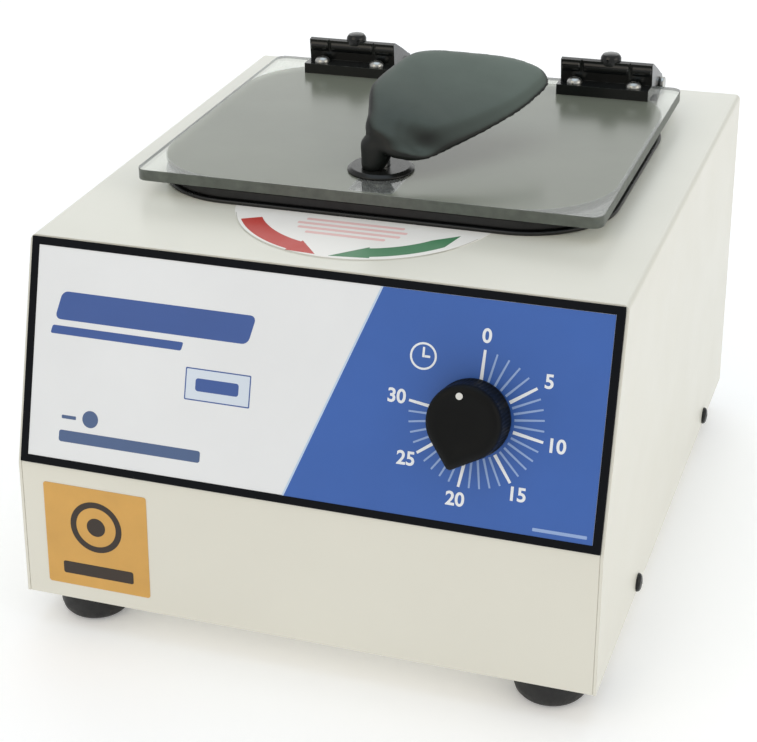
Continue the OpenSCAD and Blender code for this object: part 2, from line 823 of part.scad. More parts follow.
// Wires clipped along the base: inlet to board, board to motor, timer and capacitor
module wiring() {
    r = 1.4;
    low = floor_z + 2;
    side_x = -inner_w / 2 + 14;
    board_rear = board_pos.y + board_size.y - 9;
    color("firebrick") {
        wire([
            [inlet_pos.x, rear_y - 20, inlet_pos.y], [inlet_pos.x, rear_y - 28, inlet_pos.y],
            [inlet_pos.x, rear_y - 40, low], [side_x, rear_y - 60, low],
            [side_x, board_rear + 18, low], [board_pos.x + 20, board_rear + 14, low + 14],
            [board_pos.x + 20, board_rear + 4.1, low + 14]], r);
        wire([
            [board_pos.x + 40, board_rear + 4.1, low + 14],
            [board_pos.x + 40, board_rear + 14, low + 14],
            [-62, bowl_y - 60, low + 2], [-56, bowl_y - 14, motor_z[1] + 8],
            [-motor_r - 8, bowl_y, motor_z[1] + 8], [-motor_r - 0.1, bowl_y, motor_z[1] + 8]],
            r);
        wire([
            [board_pos.x + 56, board_rear + 4.1, low + 14],
            [board_pos.x + 56, board_rear + 12, low + 14],
            [-20, front_y + 50, low], [capacitor_pos.x - 26, capacitor_pos.y, low],
            [capacitor_pos.x - 21, capacitor_pos.y, floor_z + 30],
            [capacitor_pos.x - 21, capacitor_pos.y, floor_z + 57],
            [capacitor_pos.x - 18, capacitor_pos.y, floor_z + 58.5],
            [capacitor_pos.x - 7.1, capacitor_pos.y, floor_z + 58.5]], r);
    }
}

wrap_cover();
front_fascia();
rear_panel();
base_pan();
panel_bezel();
panel_overlay();
deck_label();
amber_label();
foot_front_left();
foot_front_right();
foot_rear_left();
foot_rear_right();
foot_screws();
side_screws();
bowl();
bowl_trim();
lid_gasket();
shaft_seal();
latch_keeper();
lid_switch();
switch_plunger();
timer_body();
timer_nut();
timer_shaft();
timer_knob();
power_inlet();
fuse_holder();
motor_housing();
motor_top_bell();
motor_bottom_bell();
motor_mount();
motor_isolators();
motor_armature();
motor_fan();
rotor_shaft();
rotor_spider();
rotor_nut();
carrier_1();
carrier_2();
carrier_3();
carrier_4();
carrier_5();
carrier_6();
control_board();
board_standoffs();
capacitor();
wiring();
hinge_base_left();
hinge_base_right();
hinge_base_screws();
hinge_pins();
hinge_leaf_left();
hinge_leaf_right();
hinge_leaf_screws();
lid_plate();
latch_escutcheon();
latch_handle();
latch_shaft();
latch_cam();
latch_nut();
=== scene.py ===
import json
import math

import bmesh
import bpy
from mathutils import Matrix, Vector


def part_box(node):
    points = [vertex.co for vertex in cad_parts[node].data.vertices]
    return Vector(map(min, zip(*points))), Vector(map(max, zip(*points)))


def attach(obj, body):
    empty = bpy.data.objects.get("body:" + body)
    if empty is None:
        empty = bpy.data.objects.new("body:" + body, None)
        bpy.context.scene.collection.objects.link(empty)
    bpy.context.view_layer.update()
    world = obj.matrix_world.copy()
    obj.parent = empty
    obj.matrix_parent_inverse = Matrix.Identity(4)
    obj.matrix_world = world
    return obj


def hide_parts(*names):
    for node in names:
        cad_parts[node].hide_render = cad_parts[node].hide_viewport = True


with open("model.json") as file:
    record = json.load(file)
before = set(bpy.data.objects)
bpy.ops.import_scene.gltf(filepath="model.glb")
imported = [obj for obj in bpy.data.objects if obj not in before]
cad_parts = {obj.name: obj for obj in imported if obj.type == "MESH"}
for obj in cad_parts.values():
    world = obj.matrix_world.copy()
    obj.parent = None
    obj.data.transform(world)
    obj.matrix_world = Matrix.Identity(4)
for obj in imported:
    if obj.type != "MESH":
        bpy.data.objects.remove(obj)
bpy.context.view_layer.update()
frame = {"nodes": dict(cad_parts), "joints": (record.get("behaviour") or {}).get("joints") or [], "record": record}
NODES = frame["nodes"]
JOINTS = {joint["name"]: joint for joint in frame["joints"]}
MM = 0.001


# ---- places, all worked out from the frame ----

def low(node):
    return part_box(node)[0]


def high(node):
    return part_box(node)[1]


def middle(node):
    return (low(node) + high(node)) / 2


class Plane:
    """A flat face with its own across, up and outward directions."""

    def __init__(self, origin, across, up):
        self.origin = Vector(origin)
        self.across = Vector(across).normalized()
        self.up = Vector(up).normalized()
        self.out = self.across.cross(self.up)

    def point(self, u, v, lift=0.0):
        return self.origin + u * self.across + v * self.up + lift * self.out

    def matrix(self, u, v, lift):
        turn = Matrix((self.across, self.up, self.out)).transposed().to_4x4()
        return Matrix.Translation(self.point(u, v, lift)) @ turn


DIAL = JOINTS["timer_turn"]
DIAL_IN = Vector(DIAL["axis"]).normalized()
DIAL_LIFT = 1 * MM
OVERLAY_T = 0.8 * MM
PANEL_UP = Vector((0, -DIAL_IN.z, DIAL_IN.y))
DIAL_AT = Vector(DIAL["pos_m"]) + DIAL_IN * DIAL_LIFT
PANEL = Plane(DIAL_AT, (1, 0, 0), PANEL_UP)
LATCH_AT = Vector(JOINTS["latch_turn"]["pos_m"])
LID_TOP = high("lid_plate").z


# ---- materials ----

def lin(r, g, b):
    """Display values 0-255 to a linear colour."""
    def one(c):
        c /= 255
        return c / 12.92 if c <= 0.04045 else ((c + 0.055) / 1.055) ** 2.4
    return (one(r), one(g), one(b), 1.0)


def mixed(a, b, share):
    return tuple(x + (y - x) * share for x, y in zip(a, b))


class Build:
    """A node tree with short calls for the nodes that the materials here use."""

    # Cosine between the face and its rounded normal, at full wear and at none
    WORN, UNWORN = 1 - 1 / 6, 0.999

    def __init__(self, name, base):
        self.mat = bpy.data.materials.new(name)
        self.mat.use_nodes = True
        self.mat.diffuse_color = base
        self.tree = self.mat.node_tree
        self.shader = self.tree.nodes["Principled BSDF"]
        self.coord = self.node("ShaderNodeTexCoord").outputs["Object"]

    def node(self, kind, **values):
        made = self.tree.nodes.new(kind)
        for key, value in values.items():
            if key in made.inputs:
                made.inputs[key].default_value = value
            else:
                setattr(made, key, value)
        return made

    def link(self, a, b):
        self.tree.links.new(a, b)

    def set(self, **values):
        for key, value in values.items():
            self.shader.inputs[key.replace("_", " ")].default_value = value

    def noise(self, scale, detail=4.0, rough=0.55, stretch=None):
        made = self.node("ShaderNodeTexNoise", Scale=scale, Detail=detail, Roughness=rough)
        source = self.coord
        if stretch:
            mapping = self.node("ShaderNodeMapping")
            mapping.inputs["Scale"].default_value = stretch
            self.link(source, mapping.inputs["Vector"])
            source = mapping.outputs["Vector"]
        self.link(source, made.inputs["Vector"])
        return made.outputs["Fac"]

    def ramp(self, fac, stops):
        made = self.node("ShaderNodeValToRGB")
        ends = made.color_ramp.elements
        while len(ends) < len(stops):
            ends.new(0.5)
        for end, (at, colour) in zip(ends, stops):
            end.position = at
            end.color = colour
        self.link(fac, made.inputs["Fac"])
        return made.outputs["Color"]

    def span(self, fac, lowest, highest, start=0.0, end=1.0):
        made = self.node("ShaderNodeMapRange")
        for key, value in zip(("From Min", "From Max", "To Min", "To Max"),
                              (start, end, lowest, highest)):
            made.inputs[key].default_value = value
        self.link(fac, made.inputs["Value"])
        return made.outputs["Result"]

    def mix(self, fac, a, b):
        made = self.node("ShaderNodeMix", data_type="RGBA")
        self.link(fac, made.inputs[0])
        self.link(a, made.inputs[6])
        self.link(b, made.inputs[7])
        return made.outputs[2]

    def math(self, operation, a, b):
        made = self.node("ShaderNodeMath", operation=operation)
        for socket, value in zip(made.inputs, (a, b)):
            if isinstance(value, (int, float)):
                socket.default_value = value
            else:
                self.link(value, socket)
        return made.outputs["Value"]

    def multiply(self, a, b):
        return self.math("MULTIPLY", a, b)

    def largest(self, a, b):
        return self.math("MAXIMUM", a, b)

    def part(self, vector, axis):
        made = self.node("ShaderNodeSeparateXYZ")
        self.link(vector, made.inputs[0])
        return made.outputs[axis]

    def facing(self, axis):
        """How far the surface faces along one of the object's own axes, either way."""
        normal = self.node("ShaderNodeTexCoord").outputs["Normal"]
        return self.math("ABSOLUTE", self.part(normal, axis), 0.0)

    def towards(self, direction):
        """Cosine of the angle between the surface and a direction, in the object's own frame."""
        made = self.node("ShaderNodeVectorMath", operation="DOT_PRODUCT")
        self.link(self.node("ShaderNodeTexCoord").outputs["Normal"], made.inputs[0])
        made.inputs[1].default_value = direction
        return made.outputs["Value"]

    def inside_round_box(self, centre, half, corner, blur):
        """1 inside an upright round-cornered box in X and Y, 0 outside, seen along Z."""
        beyond = []
        for axis, at, reach in (("X", centre.x, half.x), ("Y", centre.y, half.y)):
            offset = self.math("ABSOLUTE", self.math("SUBTRACT", self.part(self.coord, axis), at),
                               0.0)
            beyond.append(self.largest(self.math("SUBTRACT", offset, reach - corner), 0.0))
        squares = [self.multiply(value, value) for value in beyond]
        distance = self.math("SQRT", self.math("ADD", *squares), 0.0)
        return self.span(distance, 1.0, 0.0, corner - blur, corner)

    def edges(self, radius):
        """1 along worn edges and 0 on the faces, broken up by noise."""
        bevel = self.node("ShaderNodeBevel", samples=4, Radius=radius)
        geometry = self.node("ShaderNodeNewGeometry")
        dot = self.node("ShaderNodeVectorMath", operation="DOT_PRODUCT")
        self.link(bevel.outputs["Normal"], dot.inputs[0])
        self.link(geometry.outputs["Normal"], dot.inputs[1])
        edge = self.span(dot.outputs["Value"], 1.0, 0.0, self.WORN, self.UNWORN)
        broken = self.span(self.noise(180, 3), 0.0, 1.0, 0.42, 0.62)
        return self.multiply(edge, broken)

    def bump(self, fac, strength, distance):
        made = self.node("ShaderNodeBump", Strength=strength, Distance=distance)
        self.link(fac, made.inputs["Height"])
        before = self.shader.inputs["Normal"].links
        if before:
            self.link(before[0].from_socket, made.inputs["Normal"])
        self.link(made.outputs["Normal"], self.shader.inputs["Normal"])


def surface(name, base, rough, spread=0.06, vary=0.05, scale=30.0, grain=0.0, grain_scale=900.0,
            grain_depth=0.00006, worn=None, worn_radius=0.0006, stretch=None, **shader):
    """The common procedural surface: colour drift, roughness drift, fine grain, worn edges."""
    made = Build(name, base)
    drift = made.noise(scale, 5)
    dark = tuple(c * (1 - vary) for c in base[:3]) + (1.0,)
    light = tuple(min(1.0, c * (1 + vary)) for c in base[:3]) + (1.0,)
    colour = made.ramp(drift, [(0.32, dark), (0.68, light)])
    if worn:
        mask = made.edges(worn_radius)
        patch = made.ramp(made.noise(scale * 6, 3), [(0.2, worn), (0.8, mixed(worn, base, 0.25))])
        colour = made.mix(mask, colour, patch)
    made.link(colour, made.shader.inputs["Base Color"])
    smear = made.noise(scale * 3.1, 6, 0.6, stretch)
    made.link(made.span(smear, rough - spread, rough + spread, 0.3, 0.7),
              made.shader.inputs["Roughness"])
    if grain:
        made.bump(made.noise(grain_scale, 3, 0.5, stretch), grain, grain_depth)
    made.set(**shader)
    return made.mat


IVORY = lin(227, 225, 213)

MATS = {
    "cabinet_paint": surface("cabinet_paint", IVORY, 0.34, 0.05, 0.018, 9, 0.35, 420, 0.00005,
                             worn=lin(206, 200, 184), Coat_Weight=0.12, Coat_Roughness=0.2),
    "border_black": surface("border_black", lin(8, 11, 17), 0.55, 0.06, 0.12, 40, 0.2, 1200,
                            Specular_IOR_Level=0.12),
    "panel_print": surface("panel_white", lin(236, 238, 240), 0.38, 0.05, 0.02, 14, 0.25, 1500,
                           0.00003),
    "label_white": surface("label_white", lin(246, 243, 238), 0.36, 0.05, 0.015, 25, 0.15, 1400,
                           0.00003),
    "label_amber": surface("label_amber", lin(214, 164, 82), 0.4, 0.06, 0.05, 45, 0.2, 1200,
                           0.00003),
    "rubber_black": surface("rubber_black", lin(23, 23, 24), 0.55, 0.1, 0.2, 70, 0.4, 700,
                            0.00008, worn=lin(52, 52, 52)),
    "steel": surface("zinc_steel", lin(186, 186, 182), 0.3, 0.08, 0.08, 60, 0.25, 500,
                     0.00003, stretch=(1, 1, 6), Metallic=1.0),
    "dark_steel": surface("black_oxide", lin(38, 38, 40), 0.32, 0.08, 0.2, 90, 0.25, 900,
                          0.00003, worn=lin(120, 118, 114), worn_radius=0.0003, Metallic=0.8),
    "bowl_black": surface("bowl_enamel", lin(17, 18, 19), 0.3, 0.06, 0.12, 22, 0.3, 380,
                          0.00005, worn=lin(48, 48, 48)),
    "dark_plastic": surface("moulded_black", lin(22, 22, 24), 0.4, 0.07, 0.15, 50, 0.4, 1100,
                            0.00004, worn=lin(60, 60, 60), worn_radius=0.0004),
    "white_plastic": surface("moulded_white", lin(222, 221, 216), 0.42, 0.06, 0.04, 50, 0.3, 1100,
                             0.00004),
    "gloss_black": surface("gloss_black", lin(27, 28, 27), 0.24, 0.05, 0.2, 60, 0.15, 500,
                           0.00002, worn=lin(76, 76, 70), worn_radius=0.0004,
                           Specular_IOR_Level=0.3),
    "knob_black": surface("knob_plastic", lin(8, 9, 9), 0.5, 0.07, 0.16, 60, 0.45, 1400,
                          0.00004, worn=lin(38, 39, 40), worn_radius=0.0004,
                          Specular_IOR_Level=0.16),
    "hinge_black": surface("hinge_enamel", lin(18, 20, 20), 0.2, 0.06, 0.15, 60, 0.3, 350,
                           0.00006, worn=lin(92, 96, 94), worn_radius=0.0005,
                           Coat_Weight=0.15, Coat_Roughness=0.2, Specular_IOR_Level=0.35),
    "motor_metal": surface("cast_aluminium", lin(168, 168, 168), 0.42, 0.09, 0.1, 50, 0.6, 420,
                           0.00012, Metallic=1.0),
    "copper": surface("varnished_copper", lin(176, 98, 58), 0.35, 0.08, 0.2, 90, 0.6, 260,
                      0.0002, stretch=(1, 1, 9), Metallic=0.85),
    "rotor_black": surface("black_anodised", lin(30, 31, 33), 0.34, 0.07, 0.12, 50, 0.3, 800,
                           0.00004, worn=lin(120, 120, 122), worn_radius=0.0004, Metallic=0.7),
    "carrier_black": surface("carrier_plastic", lin(27, 28, 31), 0.4, 0.08, 0.12, 50, 0.35, 1000,
                             0.00004, worn=lin(66, 67, 70)),
    "board_green": surface("solder_mask", lin(22, 96, 58), 0.3, 0.07, 0.14, 110, 0.3, 700,
                           0.00005),
    "wire_red": surface("wire_sleeve", lin(168, 34, 30), 0.45, 0.07, 0.1, 60, 0.3, 900, 0.00004),
    "chrome": surface("polished_chrome", lin(212, 214, 214), 0.1, 0.05, 0.04, 70, 0.15, 300,
                      0.00002, Metallic=1.0),
}


def film_ink(name, r, g, b):
    return surface(name, lin(r, g, b), 0.36, 0.05, 0.035, 22, 0.22, 1500, 0.00003)


INK_BLUE = film_ink("ink_blue", 55, 99, 178)
INK_WHITE = film_ink("ink_white", 240, 243, 247)
INK_PALE = film_ink("ink_pale", 150, 176, 222)
INK_SKY = film_ink("ink_sky", 196, 216, 240)
INK_LOGO = film_ink("ink_mid_blue", 62, 92, 158)
INK_RED = film_ink("ink_red", 196, 62, 54)
INK_GREEN = film_ink("ink_green", 72, 132, 92)
INK_PINK = film_ink("ink_pink", 240, 198, 194)
INK_GREY = film_ink("ink_grey", 205, 203, 192)
INK_DARK = film_ink("ink_dark", 46, 33, 20)
INK_MIST = film_ink("ink_mist", 216, 226, 238)
INK_SLATE = film_ink("ink_slate", 80, 102, 142)


# The painted shade grey ends at the opening's outline, with round corners and a soft edge
OPENING_CORNER, PAINTED_SHADE_BLUR = 48 * MM, 1.2 * MM
# The clear patch in front of the latch: its centre from the latch's, its half size, its corners
WINDOW_FROM_LATCH = Vector((5 * MM, -17 * MM, 0))
WINDOW_HALF = Vector((12.5 * MM, 17 * MM, 0))
WINDOW_CORNER, WINDOW_BLUR = 4 * MM, 1.5 * MM
ACRYLIC_IOR = 1.42


def clear_acrylic():
    """Moulded sheet: clear at the rim, a dull opaque grey painted over the bowl as painted shade and reflection,
    with frosted saw-cut edges.
    """
    made = Build("clear_acrylic", (0.8, 0.82, 0.8, 0.3))
    over_opening = made.inside_round_box(middle("bowl_trim"), high("bowl_trim") - middle("bowl_trim"),
                                   OPENING_CORNER, PAINTED_SHADE_BLUR)
    patchy = made.span(made.noise(9, 4), 0.9, 1.1)
    window_at = Vector((LATCH_AT.x, LATCH_AT.y, 0)) + WINDOW_FROM_LATCH
    window = made.inside_round_box(window_at, WINDOW_HALF, WINDOW_CORNER, WINDOW_BLUR)
    # Painted shade and reflection: an opaque grey over the opening stands for the shaded bowl and the reflections
    # seen through the clear lid, left out in the clear patch by the latch
    painted_shade = made.multiply(made.multiply(over_opening, patchy), made.span(window, 1.0, 0.0))
    edge = made.span(made.facing("Z"), 1.0, 0.0, 0.2, 0.7)
    clear = made.ramp(made.noise(18, 4), [(0.3, (0.86, 0.89, 0.85, 1)),
                                          (0.7, (0.9, 0.92, 0.89, 1))])
    painted_shade_grey = made.ramp(made.noise(14, 5), [(0.3, (0.27, 0.29, 0.23, 1)),
                                         (0.7, (0.3, 0.32, 0.255, 1))])
    frosted = made.ramp(made.noise(160, 3), [(0.3, lin(104, 110, 104)), (0.7, lin(128, 134, 127))])
    colour = made.mix(edge, made.mix(painted_shade, clear, painted_shade_grey), frosted)
    made.link(colour, made.shader.inputs["Base Color"])
    opaque = made.largest(made.span(painted_shade, 0.1, 0.6), made.span(edge, 0.0, 0.6))
    made.link(made.span(opaque, 1.0, 0.0), made.shader.inputs["Transmission Weight"])
    scratches = made.noise(260, 5, 0.6, (1, 14, 1))
    fine = made.span(scratches, 0.03, 0.1, 0.45, 0.75)
    dull = made.largest(made.span(painted_shade, 0.0, 0.2), made.span(edge, 0.0, 0.35))
    made.link(made.largest(fine, dull), made.shader.inputs["Roughness"])
    made.set(IOR=ACRYLIC_IOR)
    return made.mat


MATS["clear_acrylic"] = clear_acrylic()


# How the handle's leaf lies: turned about the latch, then tipped back and to the side
LEAF_TURN = (Matrix.Rotation(math.radians(-35), 4, "Z") @ Matrix.Rotation(math.radians(10), 4, "X")
             @ Matrix.Rotation(math.radians(20), 4, "Y"))
LEAF_OUT = LEAF_TURN @ Vector((0, 0, 1))
# How far along the handle its painted light grows lighter towards the far end
PAINTED_LIGHT_RUN = 95 * MM


def handle_plastic():
    """Black moulding with painted light and shade: grey where it faces up along the leaf, painted lighter towards
    its far end, and near-black painted shade on its sides and underside.
    """
    made = Build("handle_plastic", lin(60, 66, 62))
    # Painted light and shade: faces turned up along the leaf take the grey, its sides and underside the near-black
    # painted shade
    up = made.span(made.towards(LEAF_OUT), 0.0, 1.0, 0.74, 0.975)
    # Painted light: the grey turns lighter towards the leaf's far end
    far = made.span(made.part(made.coord, "Y"), 0.0, 1.0, LATCH_AT.y, LATCH_AT.y + PAINTED_LIGHT_RUN)
    near_grey = made.ramp(made.noise(30, 5), [(0.3, lin(56, 64, 59)), (0.7, lin(64, 73, 67))])
    far_painted_light_grey = made.ramp(made.noise(24, 5), [(0.3, lin(103, 115, 106)), (0.7, lin(111, 124, 115))])
    dark = made.ramp(made.noise(60, 4), [(0.3, lin(13, 17, 15)), (0.7, lin(19, 23, 21))])
    made.link(made.mix(up, dark, made.mix(far, near_grey, far_painted_light_grey)),
              made.shader.inputs["Base Color"])
    made.link(made.span(made.noise(90, 6), 0.4, 0.54, 0.3, 0.7), made.shader.inputs["Roughness"])
    made.bump(made.noise(850, 3), 0.45, 0.00005)
    made.set(Specular_IOR_Level=0.35)
    return made.mat


MATS["handle_black"] = handle_plastic()


# ---- mesh helpers ----

def show(obj):
    bpy.context.scene.collection.objects.link(obj)
    return obj


def into_scene(name, mesh, mat, body):
    made = show(bpy.data.objects.new(name, mesh))
    mesh.materials.clear()
    mesh.materials.append(mat)
    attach(made, body)
    return made


def finished(bm, name):
    bmesh.ops.recalc_face_normals(bm, faces=bm.faces)
    mesh = bpy.data.meshes.new(name)
    bm.to_mesh(mesh)
    bm.free()
    return mesh


def shade(mesh, degrees=35):
    for face in mesh.polygons:
        face.use_smooth = True
    mesh.set_sharp_from_angle(angle=math.radians(degrees))


def node_body(node):
    for body, nodes in frame["record"]["behaviour"]["bodies"].items():
        if node in nodes:
            return body
    raise KeyError(node)


SLOTS = {part["node"]: part["material_slot"] for part in frame["record"]["subparts"]}


MERGE_GAP = 0.003 * MM
FLAT_ANGLE = math.radians(0.6)
ROLL_ANGLE = math.radians(32)


def applied(obj, cutters=()):
    """Turns the object's modifiers into plain mesh, and removes the cutters they used."""
    graph = bpy.context.evaluated_depsgraph_get()
    mesh = bpy.data.meshes.new_from_object(obj.evaluated_get(graph))
    old = obj.data
    obj.modifiers.clear()
    obj.data = mesh
    mesh.name = old.name + "_done"
    for tool in cutters:
        bpy.data.objects.remove(tool)


def cutter(bm):
    return show(bpy.data.objects.new("cutter", finished(bm, "cutter")))


def cut_by(made, cutters):
    """Adds one exact cut for each cutter."""
    for tool in cutters:
        cut = made.modifiers.new("cut", "BOOLEAN")
        cut.operation = "DIFFERENCE"
        cut.object = tool
        cut.solver = "EXACT"


def rounded(node, width, segments=3, mat=None, cuts=()):
    """A piece with the CAD node's shape and rolled edges, which stands for that node."""
    bm = bmesh.new()
    bm.from_mesh(NODES[node].data)
    bmesh.ops.remove_doubles(bm, verts=bm.verts, dist=MERGE_GAP)
    bmesh.ops.dissolve_limit(bm, angle_limit=FLAT_ANGLE, verts=bm.verts, edges=bm.edges)
    mesh = finished(bm, node + "_shell")
    made = into_scene(mesh.name, mesh, mat or MATS[SLOTS[node]], node_body(node))
    cut_by(made, cuts)
    roll = made.modifiers.new("roll", "BEVEL")
    roll.width = width
    roll.segments = segments
    roll.limit_method = "ANGLE"
    roll.angle_limit = ROLL_ANGLE
    roll.harden_normals = False
    applied(made, cuts)
    shade(made.data, 40)
    weigh = made.modifiers.new("weigh", "WEIGHTED_NORMAL")
    weigh.keep_sharp = True
    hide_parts(node)


def film(bm, plane, outline, lift, thick, holes=()):
    """Adds a thin closed sheet with that outline, and holes in it, to bm."""
    edges = []
    for ring in (outline, *holes):
        verts = [bm.verts.new(plane.point(u, v, lift)) for u, v in ring]
        edges += [bm.edges.new((a, b)) for a, b in zip(verts, verts[1:] + verts[:1])]
    filled = bmesh.ops.triangle_fill(bm, use_beauty=True, use_dissolve=False, edges=edges,
                                     normal=plane.out)
    faces = [g for g in filled["geom"] if isinstance(g, bmesh.types.BMFace)]
    grown = bmesh.ops.extrude_face_region(bm, geom=faces, use_keep_orig=True)
    moved = [g for g in grown["geom"] if isinstance(g, bmesh.types.BMVert)]
    bmesh.ops.translate(bm, verts=moved, vec=plane.out * thick)


def arc(radius, start, end, steps, centre=(0.0, 0.0)):
    """Points along an arc; angles in degrees, anticlockwise from +u."""
    return [(centre[0] + radius * math.cos(math.radians(start + (end - start) * i / steps)),
             centre[1] + radius * math.sin(math.radians(start + (end - start) * i / steps)))
            for i in range(steps + 1)]


def circle(radius, steps=48, centre=(0.0, 0.0)):
    return arc(radius, 0, 360, steps, centre)[:-1]


CORNER_STEPS = 5


def round_box(u0, v0, u1, v1, r, slant=0.0):
    """A rectangle with round corners, sheared sideways by slant times its height."""
    points = []
    for cu, cv, start in ((u1 - r, v0 + r, -90), (u1 - r, v1 - r, 0), (u0 + r, v1 - r, 90),
                          (u0 + r, v0 + r, 180)):
        points += arc(r, start, start + 90, CORNER_STEPS, (cu, cv))
    return [(u + slant * (v - v0), v) for u, v in points]


def printed(name, mat, shapes, plane, lift, thick=0.05 * MM):
    """One piece of ink on the cabinet: several outlines on one plane, each with its holes."""
    bm = bmesh.new()
    for outline, *holes in shapes:
        film(bm, plane, outline, lift, thick, holes)
    return into_scene(name, finished(bm, name), mat, "cabinet")


def lathe(bm, profile, centre, axis, segments):
    """Turns a closed profile of (radius, height) about an axis."""
    axis = Vector(axis).normalized()
    side = axis.orthogonal().normalized()
    other = axis.cross(side)
    rings = []
    for radius, height in profile:
        at = Vector(centre) + axis * height
        if radius == 0:
            rings.append([bm.verts.new(at)])
            continue
        rings.append([bm.verts.new(at + radius * (math.cos(a) * side + math.sin(a) * other))
                      for a in (2 * math.pi * i / segments for i in range(segments))])
    for one, two in zip(rings, rings[1:]):
        for i in range(segments):
            j = (i + 1) % segments
            face = [one[i % len(one)], one[j % len(one)], two[j % len(two)], two[i % len(two)]]
            face = list(dict.fromkeys(face))
            if len(face) > 2:
                bm.faces.new(face)


def skin(bm, rings):
    """Joins closed rings of equal length into a tube with flat ends."""
    for one, two in zip(rings, rings[1:]):
        for i in range(len(one)):
            j = (i + 1) % len(one)
            bm.faces.new((one[i], one[j], two[j], two[i]))
    bm.faces.new(rings[0][::-1])
    bm.faces.new(rings[-1])


def solid_piece(bm, name, body, slot_name, degrees=35):
    """A shaded piece whose material is the one that its slot is named after."""
    mesh = finished(bm, name)
    shade(mesh, degrees)
    return into_scene(name, mesh, MATS[slot_name], body)


CROSS_DEPTH = 1.4 * MM
# The recess narrows towards its floor to these shares of its length and width
CROSS_TAPER = (0.35, 0.7)


def cross_cutters(places, axis, reach, width):
    """Two cutters for cross recesses: a tapered bar at each place, and one square to it."""
    axis = Vector(axis).normalized()
    side = axis.orthogonal().normalized()
    other = axis.cross(side)
    cutters = []
    for a, b in ((side, other), (other, side)):
        bm = bmesh.new()
        for place in places:
            corners = ((-1, -1), (1, -1), (1, 1), (-1, 1))
            top = [place + axis * CROSS_DEPTH + a * (s * reach) + b * (t * width)
                   for s, t in corners]
            bottom = [place - axis * CROSS_DEPTH + a * (s * reach * CROSS_TAPER[0])
                      + b * (t * width * CROSS_TAPER[1]) for s, t in corners]
            v = [bm.verts.new(p) for p in bottom + top]
            for quad in ((3, 2, 1, 0), (4, 5, 6, 7), (0, 1, 5, 4), (1, 2, 6, 5),
                         (2, 3, 7, 6), (3, 0, 4, 7)):
                bm.faces.new([v[i] for i in quad])
        cutters.append(cutter(bm))
    return cutters


# ---- every CAD node gets its material ----

for node_name, obj in NODES.items():
    obj.data.materials.clear()
    obj.data.materials.append(MATS[SLOTS[node_name]])


# ---- pieces that keep the CAD's shape ----

# Radius of each piece's rolled edges in millimetres, and how many segments they have
ROLLED = {
    "wrap_cover": (0.35, 3), "front_fascia": (0.45, 3), "rear_panel": (0.3, 2),
    "base_pan": (0.3, 2), "panel_bezel": (0.35, 3), "panel_overlay": (0.15, 2),
    "amber_label": (0.08, 2), "deck_label": (0.08, 2), "bowl_trim": (0.7, 3),
    "lid_gasket": (1.4, 4), "lid_plate": (0.7, 4), "latch_escutcheon": (0.4, 3),
    "latch_shaft": (0.4, 3), "latch_cam": (0.5, 3), "power_inlet": (0.5, 3),
    "fuse_holder": (0.8, 3), "hinge_base_left": (0.8, 4), "foot_front_left": (0.9, 4),
    "foot_rear_left": (0.9, 4), "hinge_base_right": (0.8, 4), "foot_front_right": (0.9, 4),
    "foot_rear_right": (0.9, 4), "hinge_pins": (0.4, 3),
}
# Pieces that look glossier than their slot's material
GLOSSY = {"latch_escutcheon": MATS["gloss_black"]}
for node_name, (width, segments) in ROLLED.items():
    rounded(node_name, width * MM, segments, GLOSSY.get(node_name))


# ---- printing on the panel ----

INK_LIFT = OVERLAY_T + 0.01 * MM
FIELD_T = 0.06 * MM
PRINT_LIFT = INK_LIFT + FIELD_T + 0.01 * MM
# The dial's place on the panel: across from its middle, and up from its foot
DIAL_U = DIAL_AT.x
DIAL_V = 57 * MM


def panel_v(z):
    """Height up the panel, measured from the dial, of a point at height z."""
    return (z - DIAL_AT.z + OVERLAY_T * DIAL_IN.z) / PANEL_UP.z


def from_dial(u, v):
    """A place in millimetres from the middle of the panel's foot, as seen from the dial."""
    return (u * MM - DIAL_U, v * MM - DIAL_V)


FIELD_EDGE = 0.1 * MM
field_right = high("panel_overlay").x - FIELD_EDGE - DIAL_U
field_top = panel_v(high("panel_overlay").z) - FIELD_EDGE
field_bottom = panel_v(low("panel_overlay").z) + FIELD_EDGE
# The blue field's slanting edge runs through these two places
split_a = from_dial(34.6, 111.4)
split_b = from_dial(-6.7, 5.0)
split_lean = (split_a[0] - split_b[0]) / (split_a[1] - split_b[1])


def split_at(v, shift=0.0):
    return (split_b[0] + (v - split_b[1]) * split_lean + shift, v)


SHAFT_HOLE_R = 9 * MM
printed("panel_blue_field", INK_BLUE,
        [([split_at(field_bottom), (field_right, field_bottom), (field_right, field_top),
           split_at(field_top)], circle(SHAFT_HOLE_R))], PANEL, INK_LIFT, FIELD_T)
EDGE_W, EDGE_OVER = 0.9 * MM, 0.1 * MM
EDGE_LIFT, EDGE_T = INK_LIFT + FIELD_T + 0.002 * MM, 0.02 * MM
printed("panel_split_line", INK_SKY,
        [([split_at(field_bottom, -EDGE_W), split_at(field_bottom, EDGE_OVER),
           split_at(field_top, EDGE_OVER), split_at(field_top, -EDGE_W)],)],
        PANEL, EDGE_LIFT, EDGE_T)


ZERO_ANGLE, FIRST_STEP = 2.5, 10.7
FIVE_ANGLE, LATER_STEP = 56, 8.9
TICK_TAPER = 0.38


def minute_angle(minute):
    """Clockwise degrees from straight up; the first five minutes are stretched."""
    if minute < 5:
        return ZERO_ANGLE + FIRST_STEP * minute
    return FIVE_ANGLE + LATER_STEP * (minute - 5)


